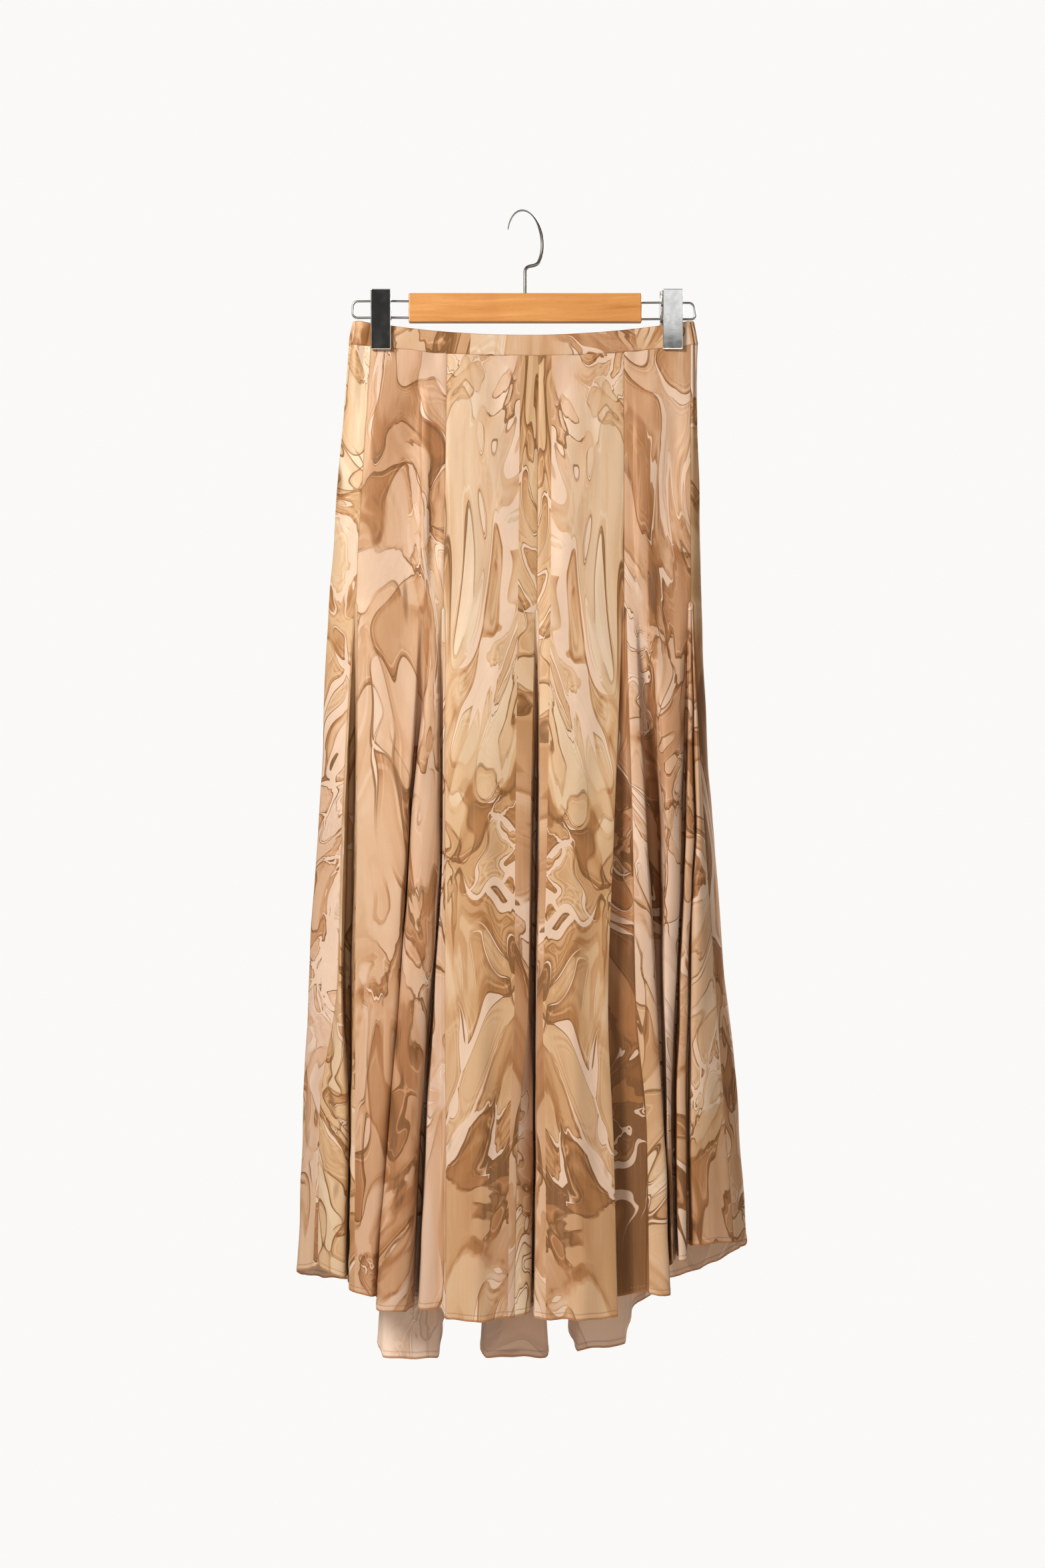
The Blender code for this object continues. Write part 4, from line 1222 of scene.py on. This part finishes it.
def right_side_material():
    graph = Graph("printed satin")
    colour, place = marble(graph)
    slub = graph.stretched(place, (420.0, 14.0, 1.0), 2.0)
    colour = graph.mix(graph.step(slub, 0.45, 0.80, 0.0, 0.10), colour, CREAM)
    colour = sewn_marks(graph, colour)
    relief = graph.bump(weave(graph, place), 0.22, 0.0003)
    crumple = graph.stretched(place, (70.0, 38.0, 1.0), 3.0)
    relief = graph.bump(crumple, 0.35, 0.0012, Normal=relief)
    gloss = graph.step(slub, 0.2, 0.8, 0.40, 0.50)
    return graph.finish(
        Base_Color=colour, Roughness=gloss, Normal=relief, Sheen_Weight=0.12, Sheen_Roughness=0.35,
        Sheen_Tint=WARM_SHEEN, Specular_IOR_Level=0.42, Specular_Tint=WARM_GLOSS,
    )


def wrong_side_material():
    graph = Graph("printed satin wrong side")
    colour, place = marble(graph)
    colour = sewn_marks(graph, graph.mix(0.45, colour, WRONG_SIDE))
    relief = graph.bump(weave(graph, place), 0.25, 0.0003)
    return graph.finish(
        Base_Color=colour, Roughness=0.66, Normal=relief, Sheen_Weight=0.12, Sheen_Tint=WARM_SHEEN
    )


def thread_material():
    graph = Graph("hem thread")
    shade = graph.noise(graph.read("TexCoord", "Object"), 900.0)
    colour = graph.ramp(shade, THREAD_TONES)
    return graph.finish(Base_Color=colour, Roughness=0.55, Sheen_Weight=0.2)


def wood_material():
    """Lacquered beech: orange tan, with soft figure, fine pores and darker worn edges."""
    graph = Graph("lacquered wood")
    place = graph.read("TexCoord", "Object")
    bent = graph.warped(place, 7.0, 0.03)
    figure = graph.stretched(bent, (5.0, 60.0, 85.0), 3.0)
    rings = graph.stretched(bent, (9.0, 160.0, 230.0), 2.0)
    pores = graph.stretched(place, (130.0, 2600.0, 2600.0))
    colour = graph.ramp(figure * 0.6 + rings * 0.4, WOOD_TONES)
    reddish = graph.step(graph.noise(bent, 13.0, 2.0), 0.52, 0.72, 0.0, 0.5)
    colour = graph.mix(reddish, colour, WOOD_RED)
    colour = graph.mix(graph.step(pores, 0.62, 0.72, 0.0, 0.35), colour, WOOD_PORE)
    worn = graph.step(graph.attribute("edge"), 0.0, 2.4, 0.42, 0.0)
    colour = graph.mix(worn, colour, WOOD_WORN)
    relief = graph.bump(rings + pores, 0.12, 0.0003)
    gloss = graph.step(figure, 0.3, 0.7, 0.26, 0.36)
    return graph.finish(
        Base_Color=colour, Roughness=gloss, Normal=relief, Coat_Weight=0.35, Coat_Roughness=0.18,
        Specular_IOR_Level=0.45,
    )


def metal_material(name):
    """Plated steel, with faint smudges and drawing marks."""
    colour, smoothest, roughest, relief_size = METALS[name]
    graph = Graph(name)
    place = graph.read("TexCoord", "Object")
    smudge = graph.noise(place, 90.0, 3.0, 0.6)
    shade = graph.mix(graph.step(smudge, 0.4, 0.75, 0.0, 0.25), colour, [c * 0.8 for c in colour])
    gloss = graph.step(smudge, 0.3, 0.7, smoothest, roughest)
    relief = graph.bump(graph.stretched(place, (220.0, 220.0, 1600.0)), relief_size, 0.00005)
    return graph.finish(Base_Color=shade, Metallic=1.0, Roughness=gloss, Normal=relief)


def mesh_object(name, points, faces, finish):
    """A hard piece from points in millimetres, its faces turned outward."""
    made = new_object(name, [tuple(c * MM for c in point) for point in points], faces, [finish])
    mesh = made.data
    turned = bmesh.new()
    turned.from_mesh(mesh)
    bmesh.ops.recalc_face_normals(turned, faces=turned.faces)
    turned.to_mesh(mesh)
    turned.free()
    mesh.shade_smooth()
    mesh.set_sharp_from_angle(angle=SHARP_ANGLE)
    return made


def evaluated_mesh(piece):
    """Turns a piece's modifiers into its mesh."""
    bpy.context.view_layer.update()
    graph = bpy.context.evaluated_depsgraph_get()
    mesh = bpy.data.meshes.new_from_object(piece.evaluated_get(graph))
    piece.modifiers.clear()
    piece.data = mesh
    return mesh


def applied(piece):
    """Turns a piece's modifiers into its mesh, its flat faces shaded flat beside their rounded edges."""
    mesh = evaluated_mesh(piece)
    mesh.shade_smooth()
    mesh.set_sharp_from_angle(angle=SHARP_ANGLE)
    weighted = piece.modifiers.new("flat faces", "WEIGHTED_NORMAL")
    weighted.keep_sharp = True
    evaluated_mesh(piece)


def swept(name, path, sections, sides, finish):
    """A closed tube along a path. A section is (across, up, half width, half thickness)."""
    turns = [2 * math.pi * k / sides for k in range(sides)]
    points = [
        centre + across * (half_width * math.cos(turn)) + up * (half_thickness * math.sin(turn))
        for centre, (across, up, half_width, half_thickness) in zip(path, sections)
        for turn in turns
    ]
    faces = [
        (i * sides + k, i * sides + (k + 1) % sides, (i + 1) * sides + (k + 1) % sides, (i + 1) * sides + k)
        for i in range(len(path) - 1)
        for k in range(sides)
    ]
    faces.append(tuple(range(sides))[::-1])
    faces.append(tuple((len(path) - 1) * sides + k for k in range(sides)))
    return mesh_object(name, points, faces, finish)


def frames_along(path, across, half_sizes):
    """A section at each point of a path that lies in the plane square to across."""
    sections = []
    for i, (half_width, half_thickness) in enumerate(half_sizes):
        tangent = (path[min(i + 1, len(path) - 1)] - path[max(i - 1, 0)]).normalized()
        sections.append((across, tangent.cross(across), half_width, half_thickness))
    return sections


def on_crook(angle):
    """A point of the crook, in the hook's own plane."""
    return Vector((math.cos(angle) * HOOK_RADIUS, math.sin(angle) * HOOK_RADIUS + CROOK_Z))


def build_hook(finish):
    """Stem, bend and crook in one plane, flattened into a strip where it lies on the rail."""
    bend = Vector((0.0, BAR_TOP_Z + STEM_STRAIGHT))
    rise = on_crook(CROOK_FROM) - bend
    start = Vector((0.0, rise.length))
    end = Vector((-math.sin(CROOK_FROM), math.cos(CROOK_FROM))) * rise.length
    route = [(Vector((0.0, BAR_TOP_Z - STEM_DEPTH)), 0.0), (Vector((0.0, BAR_TOP_Z)), 0.0)]
    route += [(bend + eased(k / STEM_BEND_STEPS, rise, start, end), 0.0) for k in range(STEM_BEND_STEPS)]
    for k in range(CROOK_STEPS + 1):
        angle = CROOK_FROM + (CROOK_TO - CROOK_FROM) * k / CROOK_STEPS
        flat = float(smooth((angle - STRIP_FROM) / (STRIP_FULL - STRIP_FROM)))
        route.append((on_crook(angle), flat))
    turn = Vector((math.cos(HOOK_TURN), math.sin(HOOK_TURN), 0.0))
    across = Vector((0.0, 0.0, 1.0)).cross(turn)
    path = [turn * spot.x + Vector((0, 0, spot.y)) for spot, _ in route]
    sizes = []
    for i, (_, flat) in enumerate(route):
        to_tip = (len(route) - 1 - i) / TIP_STEPS
        rounded = math.sqrt(max(TIP_ROUND, 1 - (1 - min(1.0, to_tip)) ** 2))
        half_width = (STEM_DIAMETER + (STRIP_WIDTH - STEM_DIAMETER) * flat) / 2
        half_thickness = (STEM_DIAMETER + (STRIP_THICKNESS - STEM_DIAMETER) * flat) / 2
        sizes.append((half_width * rounded, half_thickness * (0.6 + 0.4 * rounded)))
    hook = swept("hook", path, frames_along(path, across, sizes), HOOK_SIDES, finish)
    hold(hook, "hanger_hook")


def build_wire(wire, finish):
    """A wire loop out of the bar's end, its two outer corners round and its end leaning a little."""
    sign = -1 if wire.side == "left" else 1
    foot_x = sign * (BAR_HALF_LENGTH - WIRE_DEPTH)
    inner_x = wire.end_x - sign * WIRE_CORNER
    middle_x = (foot_x + inner_x) / 2
    path = [Vector((foot_x, 0, wire.upper_z)), Vector((middle_x, 0, wire.upper_z + WIRE_SWAY))]
    corners = ((wire.upper_z - WIRE_CORNER, 0), (wire.lower_z + WIRE_CORNER, WIRE_CORNER_STEPS))
    for centre_z, first in corners:
        for k in range(first, first + WIRE_CORNER_STEPS + 1):
            angle = math.pi / 2 * k / WIRE_CORNER_STEPS
            height = centre_z + WIRE_CORNER * math.cos(angle)
            leaning = wire.lean * (height - wire.lower_z) / (wire.upper_z - wire.lower_z)
            reach = WIRE_CORNER * math.sin(angle) - leaning
            path.append(Vector((inner_x + sign * reach, 0, height)))
    path += [Vector((middle_x, 0, wire.lower_z + WIRE_SWAY)), Vector((foot_x, 0, wire.lower_z))]
    radius = WIRE_DIAMETER / 2
    sections = frames_along(path, Vector((0, 1, 0)), [(radius, radius)] * len(path))
    made = swept("wire_" + wire.side, path, sections, WIRE_SIDES, finish)
    hold(made, "hanger_wire_" + wire.side)


def build_bar(finish):
    """The wooden bar, with rounded edges. Each point keeps its distance from the bar's end."""
    low = (-BAR_HALF_LENGTH, -BAR_THICKNESS / 2, BAR_TOP_Z - BAR_HEIGHT)
    high = (BAR_HALF_LENGTH, BAR_THICKNESS / 2, BAR_TOP_Z)
    bar = mesh_object("bar", box_corners(low, high), BOX_FACES, finish)
    soften = bar.modifiers.new("soft edges", "BEVEL")
    soften.width = BAR_EDGE_RADIUS * MM
    soften.segments = 6
    applied(bar)
    mesh = bar.data
    points = np.empty(len(mesh.vertices) * 3)
    mesh.vertices.foreach_get("co", points)
    points = points.reshape(-1, 3) / MM
    from_end = BAR_HALF_LENGTH - np.abs(points[:, 0])
    stored = mesh.attributes.new("edge", "FLOAT", "POINT")
    stored.data.foreach_set("value", from_end.astype(np.float32))
    hold(bar, "hanger_bar")


def prism(name, outline, half_width, x, side, finish):
    """An outline of (y, z) points, y toward one side, stretched across the clip's width."""
    count = len(outline)
    points = [(x + end * half_width, side * y, z) for end in (-1, 1) for y, z in outline]
    faces = [tuple(range(count)), tuple(range(2 * count - 1, count - 1, -1))]
    faces += [(k, k + count, (k + 1) % count + count, (k + 1) % count) for k in range(count)]
    return mesh_object(name, points, faces, finish)


def build_clip_plate(node, x, side, jaw_y, finish):
    """A channel plate: its web outside, its flanges against the wires, a closed jaw on the band."""
    lip_y = jaw_y + CLIP_OUTER_BOTTOM - FRONT_JAW_Y
    outline = (
        (CLIP_OUTER_TOP, CLIP_TOP_Z),
        (CLIP_WIRE_FACE + CLIP_EAR, CLIP_TOP_Z),
        (CLIP_WIRE_FACE, CLIP_TOP_Z - CLIP_SHOULDER),
        (CLIP_WIRE_FACE, CLIP_TOP_Z - CLIP_BEND_FROM),
        (jaw_y, CLIP_TOP_Z - CLIP_BEND_TO),
        (jaw_y, CLIP_BOTTOM_Z),
        (lip_y, CLIP_BOTTOM_Z),
    )
    pocket = (
        (CLIP_OUTER_TOP - CLIP_METAL, CLIP_TOP_Z - CLIP_METAL),
        (0.0, CLIP_TOP_Z - CLIP_METAL),
        (0.0, CLIP_BOTTOM_Z + CLIP_METAL),
        (lip_y - CLIP_METAL, CLIP_BOTTOM_Z + CLIP_METAL),
    )
    plate = prism(node + "_plate", outline, CLIP_WIDTH / 2, x, side, finish)
    pressed = plate.modifiers.new("pressed edges", "BEVEL")
    pressed.width = CLIP_EDGE_RADIUS * MM
    pressed.segments = 4
    pressed.limit_method = "ANGLE"
    hollow = prism(node + "_pocket", pocket, CLIP_WIDTH / 2 - CLIP_METAL, x, side, finish)
    taken = plate.modifiers.new("pocket", "BOOLEAN")
    taken.operation = "DIFFERENCE"
    taken.object = hollow
    applied(plate)
    bpy.data.objects.remove(hollow)
    hold(plate, node)


def build_spring(clip, finish):
    """The wound spring between a clip's plates: a close coil and its two ends on the plates."""
    wire = next(w for w in WIRES if w.side == clip.side)
    centre = Vector((clip.x + clip.back_shift / 2, 0, (wire.upper_z + wire.lower_z) / 2))
    length = CLIP_WIDTH - 2 * CLIP_METAL - abs(clip.back_shift) - 2 * SPRING_WIRE
    radius = PIN_RADIUS - SPRING_WIRE / 2
    steps = SPRING_TURNS * SPRING_STEPS
    path = []
    for k in range(steps + 1):
        angle = 2 * math.pi * k / SPRING_STEPS
        along_x = (k / steps - 0.5) * length
        path.append(centre + Vector((along_x, radius * math.cos(angle), radius * math.sin(angle))))
    sections = []
    for i, spot in enumerate(path):
        tangent = (path[min(i + 1, steps)] - path[max(i - 1, 0)]).normalized()
        outward = Vector((0, spot.y - centre.y, spot.z - centre.z)).normalized()
        sections.append((outward, tangent.cross(outward), SPRING_WIRE / 2, SPRING_WIRE / 2))
    made = swept("spring_" + clip.side, path, sections, SPRING_SIDES, finish)
    hold(made, "clip_spring_" + clip.side)


def build_hanger():
    build_bar(wood_material())
    build_hook(metal_material("hook chrome"))
    wire_finish = metal_material("wire chrome")
    for wire in WIRES:
        build_wire(wire, wire_finish)
    plate_finish = metal_material("clip chrome")
    spring_finish = metal_material("spring steel")
    for clip in CLIPS:
        build_clip_plate(f"clip_front_{clip.side}", clip.x, -1, FRONT_JAW_Y, plate_finish)
        build_clip_plate(f"clip_back_{clip.side}", clip.x + clip.back_shift, 1, BACK_JAW_Y, plate_finish)
        build_spring(clip, spring_finish)


def set_camera():
    """The photograph's view: level, straight on, a little above the middle of the skirt."""
    camera = bpy.data.objects.new("camera", bpy.data.cameras.new("camera"))
    bpy.context.scene.collection.objects.link(camera)
    centre_x = (PHOTO_WIDTH / 2 - HOOK_PIXEL[0]) * PIXEL
    centre_z = (HOOK_PIXEL[1] - PHOTO_HEIGHT / 2) * PIXEL
    camera.location = (centre_x, -CAMERA_DISTANCE, centre_z)
    camera.rotation_euler = (math.pi / 2, 0.0, 0.0)
    camera.data.sensor_width = SENSOR
    camera.data.lens = SENSOR * CAMERA_DISTANCE / (PHOTO_HEIGHT * PIXEL)
    bpy.context.scene.camera = camera


def area_light(name, place, target, width, watts, colour):
    light = bpy.data.lights.new(name, "AREA")
    light.shape = "DISK"
    light.size = width
    light.energy = watts
    light.color = colour
    made = bpy.data.objects.new(name, light)
    made.location = place
    made.rotation_euler = (Vector(target) - Vector(place)).to_track_quat("-Z", "Y").to_euler()
    bpy.context.scene.collection.objects.link(made)


def plain_material(name, colour, glow=0.0):
    graph = Graph(name)
    return graph.finish(Base_Color=colour, Roughness=0.9, Emission_Color=WHITE, Emission_Strength=glow)


def plane(name, corners, finish):
    made = new_object(name, corners, [(0, 1, 2, 3)], [finish])
    return made


def set_surround():
    """A near-white background for the camera, and a dimmer warm light from all round."""
    surround = Graph("studio", "worlds")
    nodes = surround.tree.nodes
    seen = surround.named(nodes["Background"], Color=BACKGROUND)
    lit = surround.named(surround.node("Background"), Color=AMBIENT, Strength=AMBIENT_STRENGTH)
    to_camera = surround.read("LightPath", "Is Camera Ray")
    chosen = surround.fed(surround.node("MixShader"), to_camera, lit, seen)
    surround.put(nodes["World Output"].inputs["Surface"], chosen)
    bpy.context.scene.world = surround.owner


def set_stage():
    """A soft key light from the upper left with three weaker ones, a floor, and glowing cards seen only in
    the metal as painted reflections.
    """
    for light in LIGHTS:
        area_light(*light)
    half = FLOOR_SIDE / 2
    floor = [(-half, -half, FLOOR_Z), (half, -half, FLOOR_Z), (half, half, FLOOR_Z), (-half, half, FLOOR_Z)]
    plane("floor", floor, plain_material("pale floor", FLOOR_COLOUR))
    # Painted reflections: each card shows only in glossy rays, for the clip plates
    for name, x0, x1, z0, z1, shade, glow in CARDS:
        corners = [(x0, CARD_Y, z0), (x1, CARD_Y, z0), (x1, CARD_Y, z1), (x0, CARD_Y, z1)]
        card = plane(name, corners, plain_material(name, (shade, shade, shade), glow))
        card.visible_camera = False
        card.visible_diffuse = False
        card.visible_shadow = False
    display = bpy.context.scene.view_settings
    display.view_transform = "Standard"
    display.look = "None"
    display.gamma = DISPLAY_GAMMA


def main():
    set_camera()
    set_surround()
    set_stage()
    finishes = (right_side_material(), wrong_side_material())
    sheets = middle_sheets()
    made, stitch_lines = build_skirt(sheets, finishes)
    made.update(build_waistbands(sheets, finishes))
    stitches = build_stitches(stitch_lines, thread_material())
    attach(stitches, BODY)
    build_hanger()


main()
